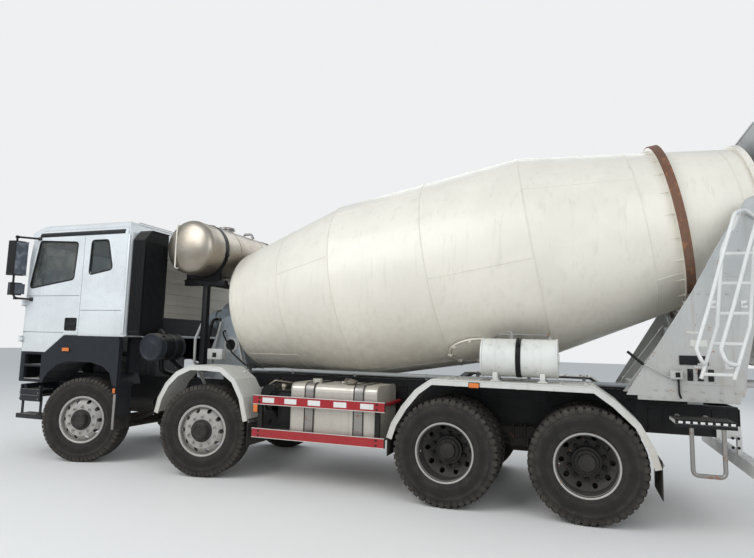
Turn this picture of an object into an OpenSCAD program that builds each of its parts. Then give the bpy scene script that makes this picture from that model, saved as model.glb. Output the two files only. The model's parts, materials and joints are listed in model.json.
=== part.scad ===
// Concrete mixer truck with two steered front axles and a twin-wheel tandem.
// Millimetres. X runs forward, Y to the left, Z up, and the ground is at Z = 0.
// Sizes along X are measured from axle 1, and place() then centres the truck on the origin.

/* [Layout] */
// Axle 1 back to axle 2
gap_12 = 1900; // [1850:10:2000]
// Axle 2 back to axle 3
gap_23 = 2980; // [2900:10:3200]
// Axle 3 back to axle 4
gap_34 = 1350; // [1340:5:1400]
// Reach of the bumper ahead of axle 1
front_reach = 1215; // [1200:5:1260]
// Reach of the hopper behind axle 1
rear_reach = 8560; // [8520:10:8700]

/* [Wheels] */
// Radius of the tyre, which is also the height of the hubs
tyre_r = 538; // [525:1:545]
// Width of the tyre's section
tyre_w = 300; // [280:5:310]
// Radius of the rim's bead seat
seat_r = 286; // [280:1:290]
// Radius of the rim's flange
flange_r = 298; // [294:1:304]
// Width of the rim over its flanges
rim_w = 254; // [240:2:260]
// Middle of the front tyre from the truck's middle
front_track = 1070; // [1055:5:1075]
// Mounting plane of the rear twin wheels from the truck's middle
rear_track = 920; // [910:5:925]
// Distance between the twin wheels
dual_gap = 340; // [335:1:350]
// Bolt face of the front wheel outboard of its middle
front_dish = 135; // [120:5:145]
// Radius of the brake drum
brake_r = 205; // [195:5:215]
// Radius of the spindle
spindle_r = 45; // [40:1:50]
// Running clearance of shafts and pins, on the radius
fit = 0.05; // [0.02:0.01:0.1]

/* [Steering] */
// Parked steering angle of axle 1, to the left
steer_rest = 16.7; // [0:0.1:20]
// Share of that angle taken by axle 2
steer_share = 0.65; // [0.6:0.01:0.7]
// King pin from the truck's middle
kingpin_y = 930; // [920:5:940]
// Radius of the king pin
kingpin_r = 24; // [20:1:28]
// Height of the eye that holds the king pin
eye_h = 150; // [140:2:160]
// Radius of that eye
eye_r = 50; // [46:1:52]
// Length of the steering arm
arm_l = 176; // [165:1:180]
// Diameter of the tie rod
tie_d = 44; // [36:1:50]

/* [Frame] */
// Width over the frame rails
frame_w = 860; // [840:5:880]
// Underside of the frame rails
rail_z = 780; // [775:5:790]
// Height of the frame rails
rail_h = 300; // [290:5:300]
// Width of a rail's flange
rail_b = 80; // [70:5:90]
// Thickness of a rail's web and flanges
rail_t = 9; // [7:1:12]
// Front end of the rails ahead of axle 1
rail_front = 1000; // [960:10:1020]
// Rear end of the rails behind axle 1
rail_back = 7640; // [7600:10:7700]
// Width between the tow coupling's bolts
tow_w = 160; // [140:5:180]
// Height between the tow coupling's bolts
tow_h = 100; // [90:5:120]
// Radius of the tow coupling's bolt holes
tow_r = 10.5; // [8.5:0.5:12]
// Height of the mixer's subframe on the rails
sub_h = 130; // [110:5:135]
// Front end of the subframe behind axle 1
sub_front = 1300; // [1250:10:1350]
// Rear end of the subframe behind axle 1
sub_back = 7340; // [7300:10:7400]

/* [Springs] */
// Half length of a front spring
front_spring = 760; // [720:10:780]
// Width of the leaves
leaf_w = 90; // [76:2:100]
// Thickness of the front leaf pack
front_pack = 90; // [70:5:100]
// Thickness of the bogie's leaf pack
bogie_pack = 150; // [120:5:160]
// Middle of the springs from the truck's middle, front
front_spring_y = 385; // [380:1:390]
// Middle of the bogie springs from the truck's middle
bogie_spring_y = 500; // [490:5:510]

/* [Engine] */
// Front of the engine block ahead of axle 1
engine_front = 700; // [650:10:720]
// Length of the engine block
engine_l = 1150; // [1000:10:1200]
// Width of the engine block
engine_w = 620; // [560:10:640]
// Underside of the engine block
engine_z = 560; // [550:5:600]
// Height of the engine block
engine_h = 770; // [700:10:790]

/* [Cab] */
// Front face of the cab ahead of axle 1
cab_front = 1170; // [1140:5:1175]
// Rear wall of the cab behind axle 1
cab_back = 700; // [680:5:720]
// Width of the cab
cab_w = 2440; // [2420:2:2450]
// Width of the roof between its side slopes
roof_w = 2180; // [2100:10:2240]
// Height of the roof
roof_z = 3168; // [3140:4:3200]
// Height at which the side turns in to the roof
side_top = 3010; // [3000:5:3030]
// Underside of the cab at the doors
sill_z = 1385; // [1380:1:1395]
// Underside of the cab over the wheels
arch_z = 1620; // [1610:5:1640]
// Height at which the windscreen starts
screen_z = 2130; // [2100:10:2160]
// Thickness of the cab's walls and doors
cab_wall = 40; // [34:2:46]
// Radius of the cab's front corners, seen from above
corner_r = 130; // [100:5:150]
// Gap round a door
door_gap = 7; // [6:0.5:9]
// Rear edge of the door ahead of axle 1
door_back = 80; // [60:5:100]
// Front edge of the door ahead of axle 1
door_front = 1085; // [1070:5:1090]
// Top edge of the door
door_top = 2975; // [2965:5:2985]
// Thickness of the window glass
glass_t = 6; // [5:0.5:8]
// Axis of the cab's tilt hinge ahead of axle 1
tilt_x = 1080; // [1075:1:1085]
// Axis of the cab's tilt hinge above the ground
tilt_z = 1030; // [1028:1:1034]
// Radius of the tilt hinge's pins
tilt_r = 22; // [18:1:24]

/* [Cab trim] */
// Reach of the wheel flares beyond the cab's side
flare_out = 25; // [15:1:30]
// Underside of the dark panels under the cab
panel_z = 985; // [980:1:990]
// Highest point of the wheel flare's opening
flare_arch_z = 1285; // [1270:5:1300]
// Lower end of the mud flap
flap_z = 450; // [430:10:480]
// Reach of the mirrors beyond the cab's side
mirror_out = 260; // [240:5:270]

/* [Bumper] */
// Upper edge of the bumper
bumper_top = 940; // [936:1:944]
// Lower edge of the bumper
bumper_z = 730; // [700:10:750]
// Half width of the bumper
bumper_y = 1240; // [1230:2:1246]
// Thickness of the bumper
bumper_t = 40; // [34:2:44]
// Rear end of the bumper's sides ahead of axle 1
bumper_back = 625; // [620:5:640]
// Rear end of the hanging step ahead of axle 1
step_back = 566; // [560:2:600]
// Height of the hanging step
step_z = 530; // [510:5:560]

/* [Side gear] */
// Front end of the side guards behind axle 1
guard_front = 2660; // [2640:10:2680]
// Rear end of the side guards behind axle 1
guard_back = 4250; // [4230:5:4255]
// Height of a guard's bar
guard_h = 98; // [90:2:104]
// Underside of the upper bar
guard_top_z = 900; // [890:5:910]
// Underside of the lower bar
guard_low_z = 532; // [525:1:545]
// Outer face of the guards from the truck's middle
guard_y = 1245; // [1235:1:1250]
// Front end of the fuel tank behind axle 1
tank_front = 3100; // [3080:10:3140]
// Length of the fuel tank
tank_l = 1030; // [980:10:1040]
// Width of the fuel tank
tank_w = 650; // [600:5:660]
// Height of the fuel tank
tank_h = 600; // [560:5:610]
// Underside of the fuel tank
tank_z = 550; // [540:5:560]
// Diameter of the silencer on the right side
silencer_d = 520; // [460:10:540]
// Diameter of the compressed air tanks
air_d = 240; // [230:5:245]

/* [Fenders] */
// Thickness of a fender's sheet
fender_t = 6; // [4:0.5:8]
// Outer face of the fenders from the truck's middle
fender_y = 1246; // [1240:1:1250]
// Depth of the lip along a fender's outer edge
fender_lip = 60; // [50:2:70]
// Top of the fender over axle 2
fender_2_z = 1300; // [1280:5:1320]
// Top of the fender over the rear axles
fender_3_z = 1264; // [1250:2:1280]

/* [Water tanks] */
// Diameter of the stainless water tank
water_d = 700; // [680:5:710]
// Half length of the stainless water tank
water_half = 1080; // [1060:5:1090]
// Axis of the water tank behind axle 1
water_x = 1445; // [1435:1:1450]
// Axis of the water tank above the ground
water_z = 2800; // [2790:2:2810]
// Diameter of the auxiliary water cylinder
wash_d = 400; // [380:5:410]
// Front end of the auxiliary cylinder behind axle 1
wash_front = 5230; // [5200:10:5260]
// Length of the auxiliary cylinder
wash_l = 750; // [700:10:780]
// Axis of the auxiliary cylinder from the truck's middle
wash_y = 1000; // [985:5:1010]
// Axis of the auxiliary cylinder above the ground
wash_z = 1508; // [1500:2:1520]

/* [Drum] */
// Tilt of the drum's axis
drum_tilt = 10.2; // [9.8:0.1:10.4]
// Middle of the drum's front head behind axle 1
drum_x = 1989; // [1985:1:1995]
// Middle of the drum's front head above the ground
drum_z = 2042; // [2038:1:2060]
// Wall of the drum
drum_t = 8; // [5:0.5:10]
// Radius of the front head
head_r = 790; // [770:5:800]
// Length of the front cone along the axis
cone_l = 1541; // [1500:5:1580]
// Radius where the front cone meets the barrel
barrel_r1 = 1131; // [1100:5:1135]
// Start of the rear cone along the axis
rear_cone = 3800; // [3760:5:3840]
// Radius where the barrel meets the rear cone
barrel_r2 = 1174; // [1150:5:1178]
// Length of the drum along the axis
drum_l = 5997; // [5980:5:6010]
// Radius of the drum's mouth
mouth_r = 707; // [690:5:720]
// Start of the track ring along the axis
ring_t0 = 5170; // [5150:5:5180]
// Width of the track ring
ring_w = 84; // [70:2:90]
// Radius of the track ring
ring_r = 952; // [945:1:956]
// Radius of a support roller
roller_r = 125; // [115:1:130]
// Width of a support roller
roller_w = 110; // [95:5:120]
// Angle of the rollers from the ring's lowest point
roller_a = 33; // [30:1:35]

/* [Drum drive] */
// Radius of the reducer
reducer_r = 250; // [230:5:260]
// Length of the reducer along the drum's axis
reducer_l = 380; // [350:5:400]
// Radius of the hydraulic motor
motor_r = 105; // [90:5:115]
// Length of the hydraulic motor
motor_l = 300; // [260:10:330]
// Radius of the output shaft in the drum's head
output_r = 70; // [60:2:80]

/* [Rear end] */
// Outer face of the pedestal's side plates from the truck's middle
plate_y = 945; // [935:5:950]
// Thickness of the pedestal's side plates
plate_t = 16; // [12:1:20]
// Top edge of the hopper
hopper_z = 3930; // [3900:5:3950]
// Half width of the hopper's top
hopper_y = 560; // [520:10:600]
// Wall of the hopper
hopper_t = 8; // [6:1:10]
// Axis of the chute's swivel behind axle 1
swivel_x = 8210; // [8190:5:8220]
// Axis of the chute's pin above the ground
luff_z = 1560; // [1540:5:1580]
// Length of the chute's trough
chute_l = 1180; // [1100:10:1200]
// Width of the chute's trough
chute_w = 470; // [430:5:480]
// Wall of the chute
chute_t = 8; // [6:1:10]
// Distance of the ladder's stiles
ladder_w = 250; // [230:5:280]
// Diameter of the ladder's tubes
ladder_d = 32; // [28:1:36]

/* [Hidden] */
$fn = 64;
axles = [0, -gap_12, -gap_12 - gap_23, -gap_12 - gap_23 - gap_34];
shift = (rear_reach - front_reach) / 2;
steer_2 = steer_rest * steer_share;
seat = 0.3;
big = 3000;
rail_top = rail_z + rail_h;
sub_z = rail_top + seat;
sub_top = sub_z + sub_h;
wheel_out = front_track - kingpin_y;
arm_z = tyre_r - eye_h / 2 - 42;
arm_t = 28;
flare_y = cab_w / 2 + flare_out;
mirror_y = cab_w / 2 + mirror_out;
ring_out = ring_t0 + ring_w;
roller_c = ring_r + roller_r + seat;
bogie_x = (axles[2] + axles[3]) / 2;
water_rest = water_z - water_d / 2;
WHEELS = ["1l", "1r", "2l", "2r", "3l", "3r", "4l", "4r"];

// Outlines: each corner is its two coordinates and its radius
function unit(v) = v / norm(v);
function xy(p) = [p[0], p[1]];
function fillet(a, b, c, r, n) =
    r <= 0 ? [b] :
    let (u = unit(a - b), v = unit(c - b),
         half = acos(u * v) / 2,
         mid = b + unit(u + v) * r / sin(half),
         s = b + u * r / tan(half) - mid,
         e = b + v * r / tan(half) - mid,
         a0 = atan2(s[1], s[0]),
         raw = atan2(e[1], e[0]) - a0,
         sweep = raw > 180 ? raw - 360 : raw < -180 ? raw + 360 : raw)
    [for (i = [0:n]) mid + r * [cos(a0 + sweep * i / n), sin(a0 + sweep * i / n)]];
function outline(corners, n = 4) =
    let (k = len(corners))
    [for (i = [0:k - 1])
        each fillet(xy(corners[(i + k - 1) % k]), xy(corners[i]), xy(corners[(i + 1) % k]),
                    corners[i][2], n)];

// Moves a piece from axle 1 to the truck's own origin
module place() { translate([shift, 0, 0]) children(); }
// Draws a piece and its twin on the other side
module both() { children(); mirror([0, 1, 0]) children(); }
// A box between two corners
module block(lo, hi) { translate(lo) cube(hi - lo); }
// An outline in X and Z, carried from y0 to y1
module across(y0, y1) { translate([0, y1, 0]) rotate([90, 0, 0]) linear_extrude(y1 - y0) children(); }
// An outline in Y and Z, carried from x0 to x1
module along(x0, x1) { translate([x0, 0, 0]) rotate([90, 0, 90]) linear_extrude(x1 - x0) children(); }
// An outline in X and Y, carried from z0 to z1
module rise(z0, z1) { translate([0, 0, z0]) linear_extrude(z1 - z0) children(); }
// A round bar between two points
module bar(p, q, d, sides = 24) {
    v = q - p;
    translate(p) rotate([0, acos(v[2] / norm(v)), atan2(v[1], v[0])]) cylinder(h = norm(v), d = d,
        $fn = sides);
}
// A round bar bent through points, with bends of radius r about a corner
function heading(points, i) = unit(points[i + 1] - points[i]);
function corner_at(points, i) = acos(heading(points, i - 1) * heading(points, i));
function setback(points, i, r) =
    i == 0 || i == len(points) - 1 ? 0 : r * tan(corner_at(points, i) / 2) - 2;
module bars(points, d, r = 45) {
    for (i = [0:len(points) - 2])
        bar(points[i] + heading(points, i) * setback(points, i, r),
            points[i + 1] - heading(points, i) * setback(points, i + 1, r), d);
    for (i = [1:len(points) - 2]) {
        u = heading(points, i - 1);
        v = heading(points, i);
        n = unit(v - u * (u * v));
        c = points[i] - u * r * tan(corner_at(points, i) / 2) + n * r;
        z = cross(-n, u);
        multmatrix([[-n[0], u[0], z[0], c[0]], [-n[1], u[1], z[1], c[1]], [-n[2], u[2], z[2], c[2]]])
            rotate_extrude(angle = corner_at(points, i)) translate([r, 0]) circle(d = d + 0.4, $fn = 24);
    }
}
// A strip of sheet along an outline in X and Z, from a to b to the left of its course
function beside(points, t) =
    let (n = len(points))
    [for (i = [0:n - 1])
        let (d = unit(points[min(i + 1, n - 1)] - points[max(i - 1, 0)])) points[i] + t * [-d[1], d[0]]];
module strip(points, a, b, y0, y1) {
    side = beside(points, b);
    across(y0, y1) polygon(concat(beside(points, a), [for (i = [len(points) - 1:-1:0]) side[i]]));
}
// Puts the drum's parts on its axis, with local Z running back along it and local X up
module on_drum(t = 0) {
    translate([-drum_x, 0, drum_z]) rotate([0, drum_tilt - 90, 0]) translate([0, 0, t]) children();
}
// Puts a steered piece at its king pin, with local Y outboard
module steered(i, side) {
    translate([axles[i], side * kingpin_y, 0])
        rotate([0, 0, i == 0 ? steer_rest : steer_2])
            mirror([0, side < 0 ? 1 : 0, 0]) children();
}
// Puts a wheel's local Z outboard at the hub's height
module outboard(y) { translate([0, y, tyre_r]) rotate([-90, 0, 0]) children(); }
// Puts a rear wheel's pieces at their mounting plane
module rear_end(i, side) {
    translate([axles[i], 0, 0]) mirror([0, side < 0 ? 1 : 0, 0]) outboard(rear_track) children();
}

// Frame
module rail_section() {
    w = frame_w / 2;
    polygon([[w, rail_z], [w, rail_top], [w - rail_b, rail_top], [w - rail_b, rail_top - rail_t],
             [w - rail_t, rail_top - rail_t], [w - rail_t, rail_z + rail_t],
             [w - rail_b, rail_z + rail_t], [w - rail_b, rail_z]]);
}
cross_x = [-1360, -2500, -4300, -5555, -6900, -7480];
cross_d = 120;
module frame_rails() color("dimgray") place() {
    both() along(-rail_back, rail_front) rail_section();
    for (x = cross_x)
        translate([x, 0, rail_top - cross_d / 2 - 40]) rotate([90, 0, 0])
            cylinder(h = frame_w - rail_t, d = cross_d, center = true);
    block([rail_front - 90, 5 - frame_w / 2, rail_z + 60], [rail_front - 20, frame_w / 2 - 5,
        rail_z + 160]);
    both() difference() {
        union() {
            across(300, 340) polygon([[rail_front - 60, rail_z + 60], [tilt_x - 60, rail_z + 60],
                                      [tilt_x - 14, tilt_z - 36], [tilt_x - 38, tilt_z + 14],
                                          [rail_front - 60, rail_z + 220]]);
            translate([tilt_x, 300, tilt_z]) rotate([-90, 0, 0]) cylinder(h = 40, r = 40);
        }
        translate([tilt_x, 290, tilt_z]) rotate([-90, 0, 0]) cylinder(h = 60, r = tilt_r + fit);
    }
    // Rear cross plate, drilled for a tow coupling
    difference() {
        block([-rail_back, 5 - frame_w / 2, rail_z + 5], [20 - rail_back, frame_w / 2 - 5, rail_top - 5]);
        translate([-rail_back, 0, rail_z + rail_h / 2]) rotate([0, 90, 0]) {
            cylinder(h = 100, r = 45, center = true);
            for (z = [-1, 1], y = [-1, 1]) translate([z * tow_h / 2, y * tow_w / 2, 0])
                cylinder(h = 100, r = tow_r, center = true);
        }
    }
}

ped_y = 330;
ped_foot = [1350, 2050];
stand_x = 1500;
stand_y = 650;
module mixer_subframe() color("lightslategray") place() {
    w = frame_w / 2;
    both() block([-sub_back, w - rail_b, sub_z], [-sub_front, w, sub_top]);
    for (x = [-sub_front - 60, -3000, -4600, -6100, -sub_back + 60])
        block([x - 50, 5 - w, sub_z], [x + 50, w - 5, sub_z + 40]);
    both() across(ped_y, ped_y + 20)
        polygon([[-ped_foot[1], sub_z + 20], [-ped_foot[0], sub_z + 20], [-ped_foot[0], sub_top + 120],
                 [-1560, 1900], [-1700, 1960], [-1800, 1880], [-ped_foot[1] + 60, sub_top + 40]]);
    both() block([-ped_foot[1], ped_y, sub_z + 20], [-ped_foot[0], w, sub_top - 20]);
    block([-1700, -ped_y - 10, 1700], [-1560, ped_y + 10, 1745]);
    block([-ped_foot[0] - 180, -ped_y - 10, sub_z + 10], [-ped_foot[0], ped_y + 10, sub_top]);
    both() {
        block([-stand_x - 40, w - 20, sub_top - 90], [-stand_x + 40, stand_y + 40, sub_top - 10]);
        block([-stand_x - 35, stand_y - 35, sub_top - 50], [-stand_x + 35, stand_y + 35, 2330]);
        block([-stand_x - 300, stand_y - 40, 2330], [-stand_x + 330, stand_y + 40, 2390]);
    }
    block([-stand_x - 40, -stand_y, 2335], [-stand_x + 40, stand_y, 2385]);
}

// Front axles
beam_w = 90;
beam_low = 330;
beam_top = 430;
module beam_end(i) {
    difference() {
        union() {
            translate([axles[i], kingpin_y, tyre_r - eye_h / 2]) cylinder(h = eye_h, r = eye_r);
            translate([axles[i], 0, 0]) along(-beam_w / 2, beam_w / 2)
                polygon([[0, beam_low], [600, beam_low], [kingpin_y - 60, tyre_r - 60],
                         [kingpin_y, tyre_r - 60], [kingpin_y, tyre_r + 60],
                         [kingpin_y - 90, tyre_r + 60], [640, beam_top], [0, beam_top]]);
        }
        translate([axles[i], kingpin_y, tyre_r - eye_h]) cylinder(h = 2 * eye_h, r = kingpin_r + fit);
    }
}
module front_spring_at(i) {
    top = beam_top + front_pack;
    translate([axles[i], 0, 0]) {
        across(front_spring_y - leaf_w / 2, front_spring_y + leaf_w / 2)
            polygon([[-front_spring, 700], [-front_spring, 680], [-480, 530], [-300, beam_top + 40],
                     [-100, beam_top - 2], [100, beam_top - 2], [300, beam_top + 40], [480, 530],
                     [front_spring, 680], [front_spring, 700], [430, 600], [0, top], [-430, 600]]);
        block([-70, front_spring_y - 60, beam_top - 30], [70, front_spring_y + 60, top + 20]);
        for (s = [-1, 1])
            across(front_spring_y - 30, front_spring_y + 30)
                polygon([[s * (front_spring - 50), rail_z - seat], [s * (front_spring + 50),
                    rail_z - seat],
                         [s * (front_spring + 25), 670], [s * (front_spring - 35), 670]]);
    }
}
module front_axles() color("#3b3b3d") place() {
    for (i = [0, 1]) {
        both() beam_end(i);
        both() front_spring_at(i);
    }
}

// Rear axles
housing_r = 72;
bowl_r = 225;
module rear_axles() color("#38383a") place() {
    for (i = [2, 3]) {
        translate([axles[i], 0, tyre_r]) rotate([90, 0, 0]) {
            cylinder(h = 2 * (rear_track - 255), r = housing_r, center = true);
            rotate_extrude() polygon([[0, -190], [90, -185], [bowl_r - 30, -110], [bowl_r, -40],
                                      [bowl_r, 40], [bowl_r - 30, 110], [90, 185], [0, 190]]);
        }
        for (s = [-1, 1]) rear_end(i, s) {
            translate([0, 0, -262]) cylinder(h = 17, r = brake_r - 10);
            translate([0, 0, -262]) cylinder(h = 332, r = spindle_r);
        }
    }
    both() {
        across(bogie_spring_y - leaf_w / 2, bogie_spring_y + leaf_w / 2)
            polygon([[axles[2] + 60, 630], [axles[2] + 60, 650], [axles[2] - 260, 700],
                     [bogie_x + 120, 630 + bogie_pack - 20], [bogie_x - 120, 630 + bogie_pack - 20],
                     [axles[3] + 260, 700], [axles[3] - 60, 650], [axles[3] - 60, 630],
                     [axles[3] + 260, 640], [bogie_x, 640], [axles[2] - 260, 640]]);
        for (i = [2, 3])
            block([axles[i] - 70, bogie_spring_y - 60, tyre_r + 40], [axles[i] + 70,
                bogie_spring_y + 60, 632]);
        block([bogie_x - 95, bogie_spring_y - 55, 560], [bogie_x + 95, bogie_spring_y + 55, 646]);
        across(frame_w / 2 - rail_b, frame_w / 2 - 10)
            polygon([[bogie_x - 260, rail_z - seat], [bogie_x + 260, rail_z - seat],
                     [bogie_x + 90, 490], [bogie_x - 90, 490]]);
    }
    both() translate([bogie_x, 300, 560]) rotate([-90, 0, 0]) cylinder(h = bogie_spring_y - 300, r = 55);
}

// Powertrain
gearbox_l = 820;
shaft_z = 700;
module powertrain() color("#4a4d50") place() {
    x1 = engine_front;
    x0 = x1 - engine_l;
    block([x0, -engine_w / 2, engine_z], [x1, engine_w / 2, engine_z + engine_h]);
    both() block([x0 + 200, engine_w / 2 - 5, 860], [x0 + 320, frame_w / 2 - rail_t - seat, 960]);
    block([x1 + 100, -430, 1090], [x1 + 190, 430, 1370]);
    block([x1 + 110, -330, 760], [x1 + 180, 330, 1100]);
    translate([x1 - 5, 0, 1000]) rotate([0, 90, 0]) cylinder(h = 120, r = 60);
    along(x0 - gearbox_l, x0 + 5)
        polygon(outline([[-190, 600, 60], [190, 600, 60], [190, 960, 90], [-190, 960, 90]]));
    along(x0 - 190, x0 + 5)
        polygon(outline([[-270, 580, 60], [270, 580, 60], [270, 1080, 120], [-270, 1080, 120]]));
    joint = axles[2] + bowl_r + 90;
    bar([x0 - gearbox_l + 5, 0, shaft_z], [joint, 0, tyre_r], 110);
    translate([joint, 0, tyre_r]) sphere(d = 140, $fn = 32);
    bar([joint, 0, tyre_r], [axles[2] + bowl_r + seat, 0, tyre_r], 90);
    bar([axles[2] - bowl_r - seat, 0, tyre_r], [axles[3] + bowl_r + seat, 0, tyre_r], 90);
}

// Bumper
module bumper_plan(g) {
    polygon(outline([[bumper_back, g - bumper_y, 0], [front_reach - 150 - g, g - bumper_y, 190 - g],
                     [front_reach - g, -700, 0], [front_reach - g, 700, 0],
                     [front_reach - 150 - g, bumper_y - g, 190 - g], [bumper_back, bumper_y - g, 0]], 6));
}
step_x = [655, 985];
module step_plan(g) {
    polygon([[step_back + g, bumper_y - g], [1030 - g, bumper_y - g], [1030 - g, bumper_y - 200 + g],
             [step_back + 90 + g, bumper_y - 200 + g], [step_back + g, bumper_y - 60 - g / 2]]);
}
module bumper() color("#3a3c40") place() {
    difference() {
        rise(bumper_z, bumper_top) difference() {
            bumper_plan(0);
            difference() {
                bumper_plan(bumper_t);
                translate([bumper_back - 1, -big]) square([0.5, 2 * big]);
            }
        }
        both() block([step_x[0], bumper_y - bumper_t - 1, 885], [step_x[1], bumper_y + 1, bumper_top + 1]);
        both() block([front_reach - 60, 640, bumper_z + 50], [front_reach + 1, 960, bumper_top - 40]);
    }
    both() {
        block([step_x[0] - 10, bumper_y - 230, 862], [step_x[1] + 10, bumper_y - 3, 884]);
        block([front_reach - 62, 620, bumper_z + 40], [front_reach - 52, 980, bumper_top - 30]);
        block([rail_front - 110, frame_w / 2 + seat, rail_z + 10], [front_reach - 30,
            frame_w / 2 + 48, rail_z + 150]);
        bar([760, frame_w / 2 + seat, 830], [760, bumper_y - 20, 830], 50);
        for (x = [step_x[0] - 20, step_x[1] - 20])
            block([x, bumper_y - 60, step_z], [x + 40, bumper_y - 50, bumper_z + 60]);
        for (x = [step_x[0] - 20, step_x[1] - 20])
            block([x, bumper_y - 60, bumper_z + 4], [x + 40, bumper_y - 30, bumper_z + 60]);
        difference() {
            rise(step_z - 30, step_z + 28) step_plan(0);
            rise(step_z - 31, step_z + 12) step_plan(20);
        }
    }
}

// Side gear
module fuel_tank() color("silver") place() {
    y0 = frame_w / 2 + 70;
    x1 = -tank_front;
    x0 = x1 - tank_l;
    along(x0, x1) polygon(outline([[y0, tank_z, 80], [y0 + tank_w, tank_z, 80],
                                   [y0 + tank_w, tank_z + tank_h, 80], [y0, tank_z + tank_h, 80]], 5));
    for (x = [x1 - 180, x0 + 180]) {
        block([x - 40, frame_w / 2 + seat, rail_z + 20], [x + 40, y0 + 5, rail_top - 30]);
        along(x - 30, x + 30) difference() {
            polygon(outline([[y0 - 8, tank_z - 8, 88], [y0 + tank_w + 8, tank_z - 8, 88],
                             [y0 + tank_w + 8, tank_z + tank_h + 8, 88], [y0 - 8,
                                 tank_z + tank_h + 8, 88]], 5));
            polygon(outline([[y0 + 4, tank_z + 4, 76], [y0 + tank_w - 4, tank_z + 4, 76],
                             [y0 + tank_w - 4, tank_z + tank_h - 4, 76], [y0 + 4,
                                 tank_z + tank_h - 4, 76]], 5));
        }
    }
    translate([x1 - 250, y0 + tank_w - 150, tank_z + tank_h - 10]) cylinder(h = 60, r = 55);
}
module side_gear() color("#333539") place() {
    out = frame_w / 2;
    // Air tanks and battery box on the left, silencer and air tanks on the right
    for (z = [690, 985])
        translate([-2745, out + 30, z]) rotate([-90, 0, 0]) cylinder(h = 560, d = air_d);
    block([-2785, out + seat, 800], [-2705, out + 40, 1060]);
    block([-2760, out + 60, 700], [-2730, out + 560, 980]);
    block([-3060, out + 60, 620], [-2880, out + 620, 1040]);
    block([-3010, out + seat, 800], [-2930, out + 70, 1060]);
    mirror([0, 1, 0]) {
        translate([-3900, out + 350, 850]) rotate([0, 90, 0]) cylinder(h = 1000, d = silencer_d);
        for (x = [-3700, -3100]) block([x - 30, out + seat, 820], [x + 30, out + 120, 1020]);
        for (z = [700, 985])
            translate([-4110, out + 30, z]) rotate([-90, 0, 0]) cylinder(h = 560, d = air_d - 10);
        block([-4150, out + seat, 800], [-4070, out + 40, 1060]);
        block([-4125, out + 60, 700], [-4095, out + 560, 980]);
        translate([-3300, out + 350, 640]) rotate([0, 180, 0]) cylinder(h = 110, r = 60);
    }
}
guard_x = [-guard_front - 85, -guard_back + 90];
// Arm of the guard from y out to its post, at one of the two posts
module guard_arm(k, y) { bar([guard_x[k], y, guard_top_z + 50], [guard_x[k], guard_y - 40,
    guard_top_z + 50], 44); }
module side_guards() color("firebrick") place() {
    guard_arm(0, frame_w / 2 + 590 + seat);
    guard_arm(1, frame_w / 2 + seat);
    mirror([0, 1, 0]) {
        guard_arm(0, frame_w / 2 + seat);
        guard_arm(1, frame_w / 2 + 590 + seat);
    }
    both() {
    for (z = [guard_top_z, guard_low_z])
        block([-guard_back, guard_y - 30, z], [-guard_front, guard_y, z + guard_h]);
    for (x = guard_x)
        block([x - 25, guard_y - 60, guard_low_z + 10], [x + 25, guard_y - 25,
            guard_top_z + guard_h - 10]);
    }
}

// Fenders: points along each sheet, from front to back
fender_2 = [[-1285, 720], [-1330, 900], [-1430, 1075], [-1570, 1210], [-1760, fender_2_z - 4],
            [-1980, fender_2_z], [-2210, fender_2_z - 12], [-2400, 1160], [-2520, 960], [-2590, 700]];
fender_3 = [[-4280, 650], [-4330, 800], [-4440, 980], [-4580, 1150], [-4740, fender_3_z],
            [-5180, fender_3_z], [-5700, fender_3_z], [-6310, fender_3_z - 4], [-6500, 1130],
            [-6690, 947], [-6800, 740], [-6850, 570]];
module fender(points, inner) {
    strip(points, -fender_t, 0, inner, fender_y - fender_t);
    strip(points, -fender_t, fender_lip - fender_t, fender_y - fender_t, fender_y);
}
module fenders() color("whitesmoke") place() both() {
    fender(fender_2, 800);
    fender(fender_3, 625);
    for (x = [-1620, -2300])
        bars([[x, frame_w / 2 + seat, 1000], [x, 700, 1000], [x, 900, x == -1620 ? 1245 : 1235]], 40);
    for (x = [-4900, -5560, -6230]) {
        block([x - 20, frame_w / 2 + seat, 1165], [x + 20, 700, 1200]);
        block([x - 20, 660, 1165], [x + 20, 700, fender_3_z - 20]);
        block([x - 20, 660, fender_3_z - 45], [x + 20, fender_y - 40, fender_3_z + 1]);
    }
}

// Water tanks
module dished(r, l, dish) {
    rotate_extrude() polygon(concat(
        [[0, -l / 2 - dish]],
        [for (i = [1:5]) [r * sin(18 * i), -l / 2 - dish * cos(18 * i)]],
        [for (i = [5:-1:1]) [r * sin(18 * i), l / 2 + dish * cos(18 * i)]],
        [[0, l / 2 + dish]]));
}
water_dish = 130;
module water_tank() color("#b9b9b4") place() {
    translate([-water_x, 0, water_z]) rotate([90, 0, 0]) {
        dished(water_d / 2, 2 * (water_half - water_dish), water_dish);
        for (z = [-stand_y, stand_y]) translate([0, 0, z]) difference() {
            cylinder(h = 70, r = water_d / 2 + 6, center = true);
            cylinder(h = 80, r = water_d / 2 - 4, center = true);
        }
    }
    both() across(stand_y - 30, stand_y + 30)
        polygon([[-water_x - 260, 2390 + seat], [-water_x + 260, 2390 + seat], [-water_x + 260, 2560],
                 [-water_x + 120, water_rest + 15], [-water_x - 120, water_rest + 15],
                     [-water_x - 260, 2560]]);
}
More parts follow.
